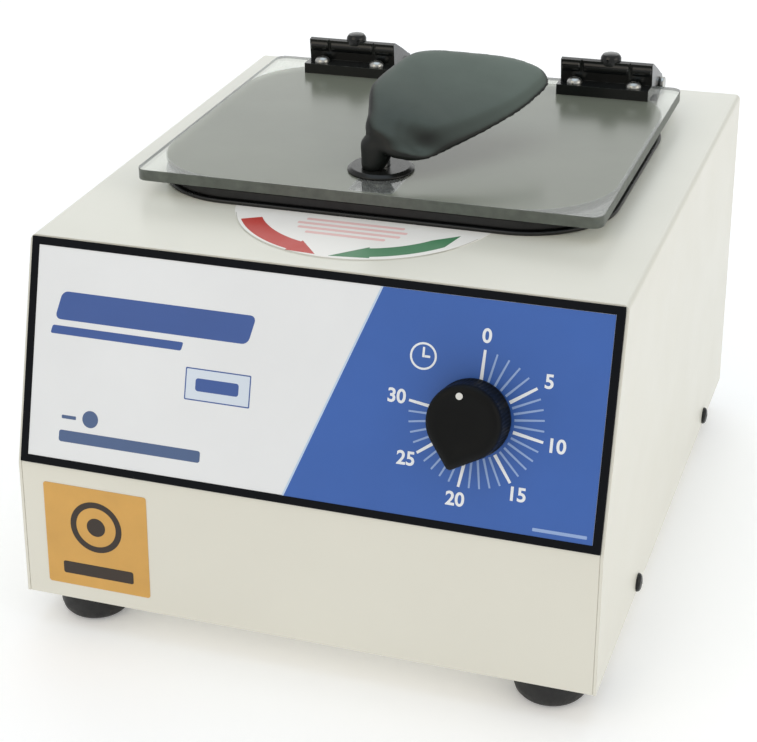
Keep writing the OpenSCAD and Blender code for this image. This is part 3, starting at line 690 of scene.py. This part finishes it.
def tick(angle, start, end, width):
    """A mark that narrows outwards, from radius start to radius end."""
    turn = math.radians(angle)
    along = (math.sin(turn), math.cos(turn))
    across = (math.cos(turn), -math.sin(turn))
    return [(along[0] * r + across[0] * w, along[1] * r + across[1] * w)
            for r, w in ((start, -width / 2), (start, width / 2), (end, width * TICK_TAPER),
                         (end, -width * TICK_TAPER))][::-1]


# The printed dial sits a little off the timer's axis
DIAL_OFF = (1.7 * MM, -0.8 * MM)
TICK_IN, MAJOR_OUT, MINOR_OUT = 18.6 * MM, 33.6 * MM, 33.0 * MM
MAJOR_W, MINOR_W = 1.7 * MM, 1.15 * MM


def off_axis(points):
    return [(u + DIAL_OFF[0], v + DIAL_OFF[1]) for u, v in points]


major = [(off_axis(tick(minute_angle(m), TICK_IN, MAJOR_OUT, MAJOR_W)),) for m in range(0, 31, 5)]
minor = [(off_axis(tick(minute_angle(m), TICK_IN, MINOR_OUT, MINOR_W)),)
         for m in range(31) if m % 5]
printed("dial_five_minute_marks", INK_WHITE, major, PANEL, PRINT_LIFT)
printed("dial_minute_marks", INK_PALE, minor, PANEL, PRINT_LIFT)


NUMERAL_R, NUMERAL_SIZE, NUMERAL_T = 40 * MM, 9.4 * MM, 0.03 * MM
# The strokes are thickened by this share of the size
NUMERAL_BOLD = 0.024


def numeral(text, u, v):
    curve = bpy.data.curves.new("numeral_" + text, "FONT")
    curve.body = text
    curve.size = NUMERAL_SIZE
    curve.align_x = "CENTER"
    curve.align_y = "CENTER"
    curve.offset = NUMERAL_SIZE * NUMERAL_BOLD
    curve.extrude = NUMERAL_T
    made = show(bpy.data.objects.new("dial_number_" + text, curve))
    made.matrix_world = PANEL.matrix(u, v, PRINT_LIFT + NUMERAL_T)
    curve.materials.append(INK_WHITE)
    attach(made, "cabinet")


for minute in range(0, 31, 5):
    turn = math.radians(minute_angle(minute))
    (at,) = off_axis([(NUMERAL_R * math.sin(turn), NUMERAL_R * math.cos(turn))])
    numeral(str(minute), *at)

# A small clock face in place of the word over the dial, with one hand up and one to the right
clock_u, clock_v = clock_at = from_dial(58, 83)
CLOCK_OUT, CLOCK_IN = 6.6 * MM, 5.6 * MM
UP_HAND, SIDE_HAND, HAND_HALF, HAND_CORNER = 4.4 * MM, 3.4 * MM, 0.55 * MM, 0.3 * MM
HAND_GAP = 0.05 * MM
printed("clock_mark", INK_WHITE, [
    (circle(CLOCK_OUT, 40, clock_at), circle(CLOCK_IN, 40, clock_at)[::-1]),
    (round_box(clock_u - HAND_HALF, clock_v - HAND_HALF, clock_u + HAND_HALF, clock_v + UP_HAND,
               HAND_CORNER),),
    (round_box(clock_u + HAND_HALF + HAND_GAP, clock_v - HAND_HALF, clock_u + SIDE_HAND,
               clock_v + HAND_HALF, HAND_CORNER),)], PANEL, PRINT_LIFT)

BAR_CORNER = 0.22


def bar(u0, v0, u1, v1, slant=0.0):
    """A round-cornered bar in place of a line of words, in millimetres on the panel."""
    (left, foot), (right, top) = from_dial(u0, v0), from_dial(u1, v1)
    return (round_box(left, foot, right, top, min(top - foot, right - left) * BAR_CORNER, slant),)


TITLE_SLANT = 0.25
printed("panel_title_bars", INK_LOGO,
        [bar(-136, 77, -31, 91.5, TITLE_SLANT), bar(-138, 69.5, -66, 73.8, TITLE_SLANT)],
        PANEL, INK_LIFT)
badge_a, badge_b = from_dial(-62.6, 45.6), from_dial(-27.8, 61.9)
BADGE_LINE, BADGE_CORNER, TINT_CORNER = 0.6 * MM, 0.6 * MM, 0.4 * MM
TINT_LIFT, TINT_T = INK_LIFT - 0.005 * MM, 0.03 * MM
tint = round_box(badge_a[0] + BADGE_LINE, badge_a[1] + BADGE_LINE, badge_b[0] - BADGE_LINE,
                 badge_b[1] - BADGE_LINE, TINT_CORNER)
printed("panel_badge_outline", INK_LOGO,
        [(round_box(*badge_a, *badge_b, BADGE_CORNER), tint[::-1]), bar(-57, 50.5, -34, 57)],
        PANEL, INK_LIFT)
printed("panel_badge_tint", INK_MIST, [(tint,)], PANEL, TINT_LIFT,
        TINT_T)
MAKER_DOT_R = 4.4 * MM
printed("panel_foot_bars", INK_SLATE,
        [bar(-130, 14.6, -52, 20.6), (circle(MAKER_DOT_R, 32, from_dial(-113, 28)),),
         bar(-129, 26.6, -121, 28.4)], PANEL, INK_LIFT)
printed("panel_small_bar", INK_PALE,
        [bar(118, 7.6, 144, 9.2)], PANEL, PRINT_LIFT)


# ---- printing on the two labels ----

def front_plane(node):
    """The plane of a node's largest face that looks forward."""
    mesh = NODES[node].data
    front = max((face for face in mesh.polygons if face.normal.y < -0.5), key=lambda f: f.area)
    normal = front.normal.copy()
    origin = middle(node)
    depth = max((vert.co - origin).dot(normal) for vert in mesh.vertices)
    return Plane(origin + normal * depth, (1, 0, 0), (0, normal.z, -normal.y))


AMBER = front_plane("amber_label")
LABEL_LIFT = 0.01 * MM
# A plain ring and dot, over a plain bar
MARK_AT = (0, 7 * MM)
RING_OUT, RING_IN, DOT_R = 14.5 * MM, 11.2 * MM, 5.2 * MM
printed("amber_label_mark", INK_DARK, [
    (circle(RING_OUT, 56, MARK_AT), circle(RING_IN, 56, MARK_AT)[::-1]),
    (circle(DOT_R, 40, MARK_AT),),
    (round_box(-20 * MM, -22.5 * MM, 20 * MM, -15.5 * MM, 1.2 * MM),)], AMBER, LABEL_LIFT)

LABEL_R = high("deck_label").x - middle("deck_label").x
LABEL_AT = Vector((middle("deck_label").x, low("deck_label").y + LABEL_R, high("deck_label").z))
DECK = Plane(LABEL_AT, (1, 0, 0), (0, 1, 0))


HEAD_GROW = 1.5 * MM
TAIL_REACH = 14


def polar(radius, angle):
    return (radius * math.cos(math.radians(angle)), radius * math.sin(math.radians(angle)))


def curved_arrow(start, neck, tip, inner, outer, tip_r, tail_r=None):
    """A bent arrow: its tail at start, the head's base at neck, its point at tip.

    The angles are in degrees about the label's centre. With tail_r the tail is pointed too.
    """
    points = arc(outer, start, neck, 14)
    points += [polar(outer + HEAD_GROW, neck), polar(tip_r, tip), polar(inner - HEAD_GROW, neck)]
    points += arc(inner, neck, start, 14)
    if tail_r:
        points.append(polar(tail_r, start - math.copysign(TAIL_REACH, neck - start)))
    return (points,)


printed("deck_label_red_arrow", INK_RED,
        [curved_arrow(-150, -109, -95.5, 56.5 * MM, 67.5 * MM, 66.8 * MM)], DECK, LABEL_LIFT)
printed("deck_label_green_arrow", INK_GREEN,
        [curved_arrow(-38, -72, -89.5, 55 * MM, 65.5 * MM, 66.6 * MM, 60.5 * MM)],
        DECK, LABEL_LIFT)
OUTLINE_R, OUTLINE_W = 69.6 * MM, 0.5 * MM
printed("deck_label_outline", INK_GREY,
        [(arc(OUTLINE_R, -158, -22, 60) + arc(OUTLINE_R - OUTLINE_W, -22, -158, 60),)],
        DECK, LABEL_LIFT)
# Bars in place of the words: width, and place up from the label's centre, in millimetres
WORD_BARS = [(52, -24), (58, -29.5), (54, -35), (42, -40.5)]
WORD_HALF, WORD_CORNER = 1.3, 0.8 * MM
printed("deck_label_bars", INK_PINK,
        [(round_box(-width / 2 * MM, (v - WORD_HALF) * MM, width / 2 * MM, (v + WORD_HALF) * MM,
                    WORD_CORNER),) for width, v in WORD_BARS], DECK, LABEL_LIFT)


# ---- timer knob ----

KNOB_FOOT = DIAL_AT - DIAL_IN * (OVERLAY_T + 0.8 * MM)
KNOB_R, NOSE_R, NOSE_BLUNT = 19 * MM, 25.2 * MM, 0.7 * MM
KNOB_STEPS, KNOB_FLUTES = 384, 64
# Clockwise from straight up
POINTER_AT, WHITE_DOT_AT = math.radians(193), math.radians(-11)
# Height, how far in from the outline, and depth of the flutes, in millimetres
KNOB_LEVELS = [(0, 0.5, 0), (0.5, 0, 0), (2.2, 0, 0), (2.8, 0.15, 0.28), (13.4, 0.5, 0.28),
               (14.6, 0.7, 0), (15.9, 1.0, 0), (17.0, 1.7, 0), (17.7, 2.9, 0), (18.0, 4.4, 0),
               (17.9, 6.0, 0), (17.6, 8.0, 0), (17.35, 12.0, 0), (17.3, 15.5, 0)]
WHITE_DOT_R, WHITE_DOT_LIFT = 13 * MM, 17.2 * MM
WHITE_DOT_PROFILE = [(0, 0), (1.7 * MM, 0), (1.7 * MM, 0.75 * MM), (1.45 * MM, 0.95 * MM), (0, 1.0 * MM)]


def knob_reach(angle):
    """Radius of the knob's outline at an angle from its pointer."""
    touch = math.acos(KNOB_R / NOSE_R)
    off = abs((angle + math.pi) % (2 * math.pi) - math.pi)
    reach = KNOB_R / math.cos(touch - off) if off < touch else KNOB_R
    return min(reach, NOSE_R - NOSE_BLUNT)


def on_knob(radius, turn, lift):
    return (KNOB_FOOT + PANEL.across * radius * math.sin(turn)
            + PANEL.up * radius * math.cos(turn) + PANEL.out * lift)


def knob():
    """Pointer knob: fluted sides, a rolled rim, a slightly dished top and a small white dot."""
    bm = bmesh.new()
    rings = []
    for z, inset, flute in KNOB_LEVELS:
        ring = []
        for i in range(KNOB_STEPS):
            angle = 2 * math.pi * i / KNOB_STEPS
            groove = flute * MM * (0.5 - 0.5 * math.cos(KNOB_FLUTES * angle))
            r = knob_reach(angle) * (1 - inset * MM / KNOB_R) - groove
            ring.append(bm.verts.new(on_knob(r, POINTER_AT + angle, z * MM)))
        rings.append(ring)
    skin(bm, rings)
    made = solid_piece(bm, "timer_knob_cap", "knob", "knob_black", 50)
    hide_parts("timer_knob")
    bm = bmesh.new()
    # A small white dot on the knob's top, near its rim
    lathe(bm, WHITE_DOT_PROFILE, on_knob(WHITE_DOT_R, WHITE_DOT_AT, WHITE_DOT_LIFT), PANEL.out, 32)
    solid_piece(bm, "knob_white_dot", "knob", "white_plastic")


knob()


# ---- latch handle ----

def smooth_through(knots, x):
    """Catmull-Rom value at x of knots (x, value), flat past the ends."""
    if x <= knots[0][0]:
        return knots[0][1]
    for i in range(len(knots) - 1):
        (x1, y1), (x2, y2) = knots[i], knots[i + 1]
        if x <= x2:
            x0, y0 = knots[max(i - 1, 0)]
            x3, y3 = knots[min(i + 2, len(knots) - 1)]
            m1 = (y2 - y0) / (x2 - x0)
            m2 = (y3 - y1) / (x3 - x1)
            h = x2 - x1
            t = (x - x1) / h
            return ((2 * t ** 3 - 3 * t ** 2 + 1) * y1 + (t ** 3 - 2 * t ** 2 + t) * h * m1
                    + (-2 * t ** 3 + 3 * t ** 2) * y2 + (t ** 3 - t ** 2) * h * m2)
    return knots[-1][1]


# Along the leaf from the latch axis, in millimetres: left edge, right edge, half thickness
LEAF_LEFT = [(-9, 3), (-6, -5), (1, -12), (14, -27), (24, -32), (34, -35), (46, -38), (56, -37),
             (65, -32), (78, -21), (87, -13), (95, -4), (100, 6), (102, 14)]
LEAF_RIGHT = [(-9, 9), (-6, 17), (1, 25), (7, 28), (18, 30), (41, 31), (62, 30), (76, 28),
              (90, 24), (97, 21), (102, 15)]
LEAF_HALF = [(-9, 3.5), (-4, 6.0), (6, 6.8), (20, 6.0), (34, 4.6), (55, 3.4), (80, 2.8),
             (98, 2.2), (102, 1.0)]
LEAF_START, LEAF_END = -9, 102
LEAF_AROUND, LEAF_ALONG = 48, 60
LEAF_RISE = 21.5 * MM
# Powers that square off the leaf's section sideways and up
SIDE_POWER, FACE_POWER = 0.62, 0.68
UNDER_SHARE = 0.72
# The thumb's scoop: depth, place, direction, length and width
SCOOP, SCOOP_AT, SCOOP_RUN, SCOOP_LONG, SCOOP_WIDE = 6.0, (19.0, 8.0), (0.85, 0.53), 13, 7
# The fall of the right-hand side: depth and reach at the stem, and what each loses by the end
FALL, FALL_LOSS, FALL_REACH, FALL_REACH_LOSS = 5.2, 3.4, 14, 7
# The leaf's bow along its length: height, highest place and half length
BOW, BOW_AT, BOW_HALF = 1.2, 46, 56
STEM_FOOT = Vector((-2.6 * MM, -3.4 * MM, 2.9 * MM))
STEM_HEAD = Vector((1.2 * MM, -2.4 * MM, LEAF_RISE - 2.5 * MM))
STEM_RINGS, STEM_AROUND = 17, 32
# The stem's half width and gain, half depth and loss, where it rounds off, and how much
STEM_WIDE, STEM_GAIN, STEM_DEEP, STEM_LOSS, ROUND_FROM, ROUNDING = 6.6, 5.2, 8.6, 0.2, 0.7, 0.6
FOOT_PRESS, FOOT_LIFT = 0.9 * MM, 0.02 * MM


def scoop_depth(x, s):
    across, along = x - SCOOP_AT[0], s - SCOOP_AT[1]
    lengthways = across * SCOOP_RUN[0] + along * SCOOP_RUN[1]
    sideways = across * SCOOP_RUN[1] - along * SCOOP_RUN[0]
    return SCOOP * math.exp(-(lengthways / SCOOP_LONG) ** 2 - (sideways / SCOOP_WIDE) ** 2)


def fall_depth(to_edge, s, rise):
    """How far the right-hand side falls away to its edge; rise is 1 on top, -1 underneath."""
    t = max(0.0, s) / LEAF_END
    near = max(0.0, 1 - to_edge / (FALL_REACH - FALL_REACH_LOSS * t))
    return (FALL - FALL_LOSS * t) * near * near * (3 - 2 * near) * (1 + rise * abs(rise)) / 2


def leaf_ring(s):
    """The leaf's section at s millimetres along it, in the leaf's own frame."""
    left, right = smooth_through(LEAF_LEFT, s), smooth_through(LEAF_RIGHT, s)
    half = smooth_through(LEAF_HALF, s)
    centre, wide = (left + right) / 2, max(0.4, (right - left) / 2)
    points = []
    for i in range(LEAF_AROUND):
        a = 2 * math.pi * i / LEAF_AROUND
        c, d = math.cos(a), math.sin(a)
        x = centre + wide * math.copysign(abs(c) ** SIDE_POWER, c)
        z = half * math.copysign(abs(d) ** FACE_POWER, d)
        # The underside is flatter than the top, which has the scoop
        z = z * UNDER_SHARE if z < 0 else z - scoop_depth(x, s)
        z -= fall_depth(right - x, s, d)
        z += BOW * (1 - ((s - BOW_AT) / BOW_HALF) ** 2)
        points.append(Vector((x * MM, s * MM, z * MM)))
    return points


def stem_ring(foot, head, t):
    """The stem's section at a share t of its height: narrow at its foot, wide in the leaf."""
    centre = foot.lerp(head, t)
    round_off = math.sqrt(1 - ROUNDING * max(0.0, (t - ROUND_FROM) / (1 - ROUND_FROM)) ** 2)
    wide = (STEM_WIDE + STEM_GAIN * t ** 1.3) * MM * round_off
    deep = (STEM_DEEP - STEM_LOSS * t) * MM * round_off
    return [centre + Vector((wide * math.cos(a), deep * math.sin(a), 0))
            for a in (2 * math.pi * i / STEM_AROUND for i in range(STEM_AROUND))]


def handle():
    """Leaf-shaped grip lofted along its length, run into its leaning stem and smoothed."""
    base = Vector((LATCH_AT.x, LATCH_AT.y, LID_TOP))
    place = Matrix.Translation(base + Vector((0, 0, LEAF_RISE))) @ LEAF_TURN
    bm = bmesh.new()
    shares = [0.5 - 0.5 * math.cos(math.pi * k / LEAF_ALONG) for k in range(LEAF_ALONG + 1)]
    skin(bm, [[bm.verts.new(place @ point)
               for point in leaf_ring(LEAF_START + (LEAF_END - LEAF_START) * share)]
              for share in shares])
    foot, head = base + STEM_FOOT, base + STEM_HEAD
    skin(bm, [[bm.verts.new(point) for point in stem_ring(foot, head, k / (STEM_RINGS - 1))]
              for k in range(STEM_RINGS)])
    made = into_scene("latch_grip", finished(bm, "latch_grip"), MATS["handle_black"], "latch")
    melt = made.modifiers.new("melt", "REMESH")
    melt.mode = "VOXEL"
    melt.voxel_size = 1.1 * MM
    soften = made.modifiers.new("soften", "SMOOTH")
    soften.factor = 0.6
    soften.iterations = 7
    applied(made)
    # The smoothing draws the foot up, so it is pressed flat on the escutcheon again
    for vert in made.data.vertices:
        if vert.co.z < foot.z + FOOT_PRESS:
            vert.co.z = foot.z + FOOT_LIFT
    shade(made.data, 60)
    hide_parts("latch_handle")


handle()


# ---- latch collar ----

COLLAR_R, COLLAR_WAIST, COLLAR_EASE = 11 * MM, 7.2 * MM, 0.5 * MM
# Top and bottom of each flange, down from the lid's underside
COLLAR_TOP, COLLAR_GAP, COLLAR_NEXT, COLLAR_END = -0.25 * MM, -2.7 * MM, -4.6 * MM, -7.2 * MM


def flange(top_z, bottom_z):
    return [(COLLAR_R - COLLAR_EASE, top_z), (COLLAR_R, top_z - COLLAR_EASE),
            (COLLAR_R, bottom_z + COLLAR_EASE), (COLLAR_R - COLLAR_EASE, bottom_z),
            (COLLAR_WAIST, bottom_z)]


def latch_collar():
    """Two turned chrome flanges under the lid, seen through it in front of the latch."""
    bm = bmesh.new()
    profile = [(0, COLLAR_TOP), *flange(COLLAR_TOP, COLLAR_GAP), (COLLAR_WAIST, COLLAR_NEXT),
               *flange(COLLAR_NEXT, COLLAR_END), (0, COLLAR_END)]
    lathe(bm, profile[::-1], (LATCH_AT.x, LATCH_AT.y, low("lid_plate").z), (0, 0, 1), 56)
    solid_piece(bm, "latch_collar", "latch", "chrome")


latch_collar()


# ---- hinges ----

BLOCK_DEPTH = 33.5 * MM
# Each groove: place as a share of the half width, width, and where the roll goes on after it
GROOVES = [(-0.56, 1.1 * MM, 1.3 * MM), (0.5, 0.9 * MM, 1.2 * MM)]
GROOVE_FOOT, GROOVE_DEPTH, GROOVE_CLEAR = 6.8 * MM, 0.9 * MM, 2 * MM
ROLL_R, ROLL_EASE, ROLL_INSET, ROLL_GAP = 4.1 * MM, 0.8 * MM, 0.3 * MM, 0.4 * MM
ROLL_END_R = ROLL_R * 0.82
ROLL_BACK, ROLL_DOWN = 3.3 * MM, 4.4 * MM
CAP_OFF, CAP_BACK, CAP_SUNK = 1.5 * MM, 5 * MM, 0.6 * MM
CAP = [(0, -2.2 * MM), (5.9 * MM, -2.2 * MM), (5.9 * MM, 1.6 * MM), (5.5 * MM, 2.5 * MM),
       (4.6 * MM, 3.7 * MM), (3.0 * MM, 4.2 * MM), (0, 4.3 * MM)]


def box_cutter(corner_a, corner_b):
    bm = bmesh.new()
    bmesh.ops.create_cube(bm, size=1.0)
    a, b = Vector(corner_a), Vector(corner_b)
    for vert in bm.verts:
        vert.co = Vector([(a[i] + b[i]) / 2 + vert.co[i] * (b[i] - a[i]) for i in range(3)])
    return cutter(bm)


def hinge_block(side):
    """The lid's half of a hinge: a grooved block, its rolled front edge and a domed cap."""
    node = "hinge_leaf_" + side
    lowest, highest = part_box(node)
    centre = (lowest.x + highest.x) / 2
    half = (highest.x - lowest.x) / 2
    front = highest.y - BLOCK_DEPTH
    rounded(node, 1.1 * MM, segments=4, cuts=[
        box_cutter((centre + share * half, front - GROOVE_CLEAR, LID_TOP + GROOVE_FOOT),
                   (centre + share * half + width, front + GROOVE_DEPTH,
                    highest.z + GROOVE_CLEAR)) for share, width, _ in GROOVES])
    # Rolled edge along the top of the block, in three lengths with turned ends
    bm = bmesh.new()
    starts = [-half + ROLL_INSET] + [share * half + after for share, _, after in GROOVES]
    ends = [share * half - ROLL_GAP for share, _, _ in GROOVES] + [half - ROLL_INSET]
    for start, end in zip(starts, ends):
        length = end - start
        lathe(bm, [(0, 0), (ROLL_END_R, 0), (ROLL_R, ROLL_EASE), (ROLL_R, length - ROLL_EASE),
                   (ROLL_END_R, length), (0, length)],
              (centre + start, front + ROLL_BACK, highest.z - ROLL_DOWN), (1, 0, 0), 40)
    solid_piece(bm, "hinge_roll_" + side, "lid", "hinge_black")
    # Domed cap, where the screw that sets the hinge's drag is
    bm = bmesh.new()
    lathe(bm, CAP, (centre + CAP_OFF, front + CAP_BACK, highest.z - CAP_SUNK), (0, 0, 1), 48)
    solid_piece(bm, "hinge_cap_" + side, "lid", "hinge_black")


for side in ("left", "right"):
    hinge_block(side)


# ---- screws ----

def islands(node):
    """(lowest, highest) corner of each separate solid of a node."""
    bm = bmesh.new()
    bm.from_mesh(NODES[node].data)
    bmesh.ops.remove_doubles(bm, verts=bm.verts, dist=MERGE_GAP)
    seen = set()
    found = []
    for start in bm.verts:
        if start in seen:
            continue
        seen.add(start)
        todo = [start]
        points = []
        while todo:
            vert = todo.pop()
            points.append(vert.co.copy())
            for edge in vert.link_edges:
                other = edge.other_vert(vert)
                if other not in seen:
                    seen.add(other)
                    todo.append(other)
        found.append((Vector([min(p[i] for p in points) for i in range(3)]),
                      Vector([max(p[i] for p in points) for i in range(3)])))
    bm.free()
    return found


# Screws higher than this over the lid set the hinges' drag: the domed caps stand for them
CLAMP_SCREW_TOP = 12 * MM
HEAD_H = 2.5 * MM
BUTTON_SHANK = 1.95 * MM
# The head's rim and dome, then down into its round socket
BUTTON_HEAD = [(BUTTON_SHANK, 0), (4.4 * MM, 0), (4.5 * MM, 0.5 * MM), (4.1 * MM, 1.7 * MM),
               (3.2 * MM, 2.6 * MM), (2.0 * MM, 3.1 * MM), (1.5 * MM, 3.15 * MM),
               (1.4 * MM, 1.2 * MM), (0, 1.0 * MM)]


def button_screws():
    """Button-head screws with round sockets, where the hinges clamp the lid."""
    bm = bmesh.new()
    for lowest, highest in islands("hinge_leaf_screws"):
        if highest.z > LID_TOP + CLAMP_SCREW_TOP:
            continue
        seat = Vector(((lowest.x + highest.x) / 2, (lowest.y + highest.y) / 2, highest.z - HEAD_H))
        tip = lowest.z - seat.z
        lathe(bm, [(0, tip), (BUTTON_SHANK, tip)] + BUTTON_HEAD, seat, (0, 0, 1), 36)
    made = solid_piece(bm, "hinge_button_screws", "lid", "steel")
    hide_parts("hinge_leaf_screws")


button_screws()


def hinge_base_screws():
    """The screws of the hinges' lower halves, with cross recesses in their heads."""
    places = []
    for lowest, highest in islands("hinge_base_screws"):
        places.append(Vector(((lowest.x + highest.x) / 2, (lowest.y + highest.y) / 2, highest.z)))
    rounded("hinge_base_screws", 0.35 * MM,
            cuts=cross_cutters(places, (0, 0, 1), 2.3 * MM, 0.45 * MM))


hinge_base_screws()

SIDE_SHANK = 1.9 * MM
SIDE_HEAD = [(SIDE_SHANK, 0), (4.9 * MM, 0), (5.0 * MM, 0.5 * MM), (4.6 * MM, 1.5 * MM),
             (3.4 * MM, 2.2 * MM), (1.8 * MM, 2.45 * MM), (0, HEAD_H)]


def side_screws():
    """Broad black pan-head screws through the cabinet's sides."""
    bm = bmesh.new()
    tips = {-1: [], 1: []}
    for lowest, highest in islands("side_screws"):
        centre = (lowest + highest) / 2
        outward = 1 if centre.x > 0 else -1
        inner, tip = (lowest.x, highest.x) if outward > 0 else (highest.x, lowest.x)
        seat = Vector((tip - outward * HEAD_H, centre.y, centre.z))
        length = abs(inner - seat.x)
        lathe(bm, [(0, -length), (SIDE_SHANK, -length)] + SIDE_HEAD, seat, (outward, 0, 0), 36)
        tips[outward].append(Vector((tip, centre.y, centre.z)))
    mesh = finished(bm, "side_screws_turned")
    made = into_scene(mesh.name, mesh, MATS["gloss_black"], "cabinet")
    cutters = [tool for outward in (-1, 1) for tool in
               cross_cutters(tips[outward], (outward, 0, 0), 2.6 * MM, 0.5 * MM)]
    cut_by(made, cutters)
    applied(made, cutters)
    shade(made.data, 40)
    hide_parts("side_screws")


side_screws()


# ---- camera, floor and light ----

# The photo's angle and lens, solved from twelve of the object's corners
AZIMUTH, ELEVATION, ROLL = (math.radians(a) for a in (21.04, 25.7, -1.74))
EYE = Vector((0.29934, -0.92393, 0.5666))
LENS, SENSOR = 90.56, 36
SHIFT_X, SHIFT_Y = 0.0863, -0.0274
back = Vector((math.sin(AZIMUTH) * math.cos(ELEVATION), -math.cos(AZIMUTH) * math.cos(ELEVATION),
               math.sin(ELEVATION)))
level = (-back).cross(Vector((0, 0, 1))).normalized()
upward = level.cross(-back)
right = level * math.cos(ROLL) + upward * math.sin(ROLL)
top = upward * math.cos(ROLL) - level * math.sin(ROLL)
camera_data = bpy.data.cameras.new("camera")
camera_data.sensor_width = SENSOR
camera_data.lens = LENS
camera_data.shift_x = SHIFT_X
camera_data.shift_y = SHIFT_Y
camera_data.clip_start = 0.01
camera = show(bpy.data.objects.new("camera", camera_data))
camera.matrix_world = Matrix.Translation(EYE) @ Matrix((right, top, back)).transposed().to_4x4()
bpy.context.scene.camera = camera
bpy.context.scene.view_settings.view_transform = "Standard"

FLOOR_HALF, FLOOR_GAP = 6.0, 0.2 * MM
bm = bmesh.new()
bmesh.ops.create_grid(bm, x_segments=8, y_segments=8, size=FLOOR_HALF)
floor = show(bpy.data.objects.new("floor", finished(bm, "floor")))
floor.location.z = -FLOOR_GAP
floor.data.materials.append(surface("pale_floor", lin(250, 250, 250), 0.7, 0.05, 0.01, 3,
                                    Emission_Color=(1, 1, 1, 1), Emission_Strength=0.2))

WORLD_STRENGTH = 0.61
world = bpy.data.worlds.new("soft_studio")
bpy.context.scene.world = world
world.use_nodes = True
background = world.node_tree.nodes["Background"].inputs
background["Color"].default_value = (1.0, 1.0, 1.0, 1)
background["Strength"].default_value = WORLD_STRENGTH


def softbox(name, place, target, width, height, power, colour):
    """A soft rectangular light that the camera doesn't see, aimed at target."""
    data = bpy.data.lights.new(name, "AREA")
    data.shape = "RECTANGLE"
    data.size = width
    data.size_y = height
    data.energy = power
    data.color = colour
    made = show(bpy.data.objects.new(name, data))
    made.location = place
    aim = Vector(target) - Vector(place)
    made.rotation_euler = aim.to_track_quat("-Z", "Y").to_euler()
    made.visible_camera = False


softbox("key", (-0.9, -1.8, 1.5), (0, 0, 0.1), 1.6, 1.4, 7.6, (1.0, 0.88, 0.68))
softbox("right_fill", (2.0, -0.5, 1.0), (0, 0, 0.1), 1.6, 1.2, 7.2, (1.0, 0.93, 0.8))
softbox("sky", (0.0, 0.2, 2.3), (0, 0, 0.1), 2.0, 2.0, 9.6, (0.57, 0.79, 1.0))
softbox("back_wall", (-0.7, 2.2, 1.15), (0, 0, 0.22), 2.8, 1.6, 12, (0.98, 1.0, 0.98))
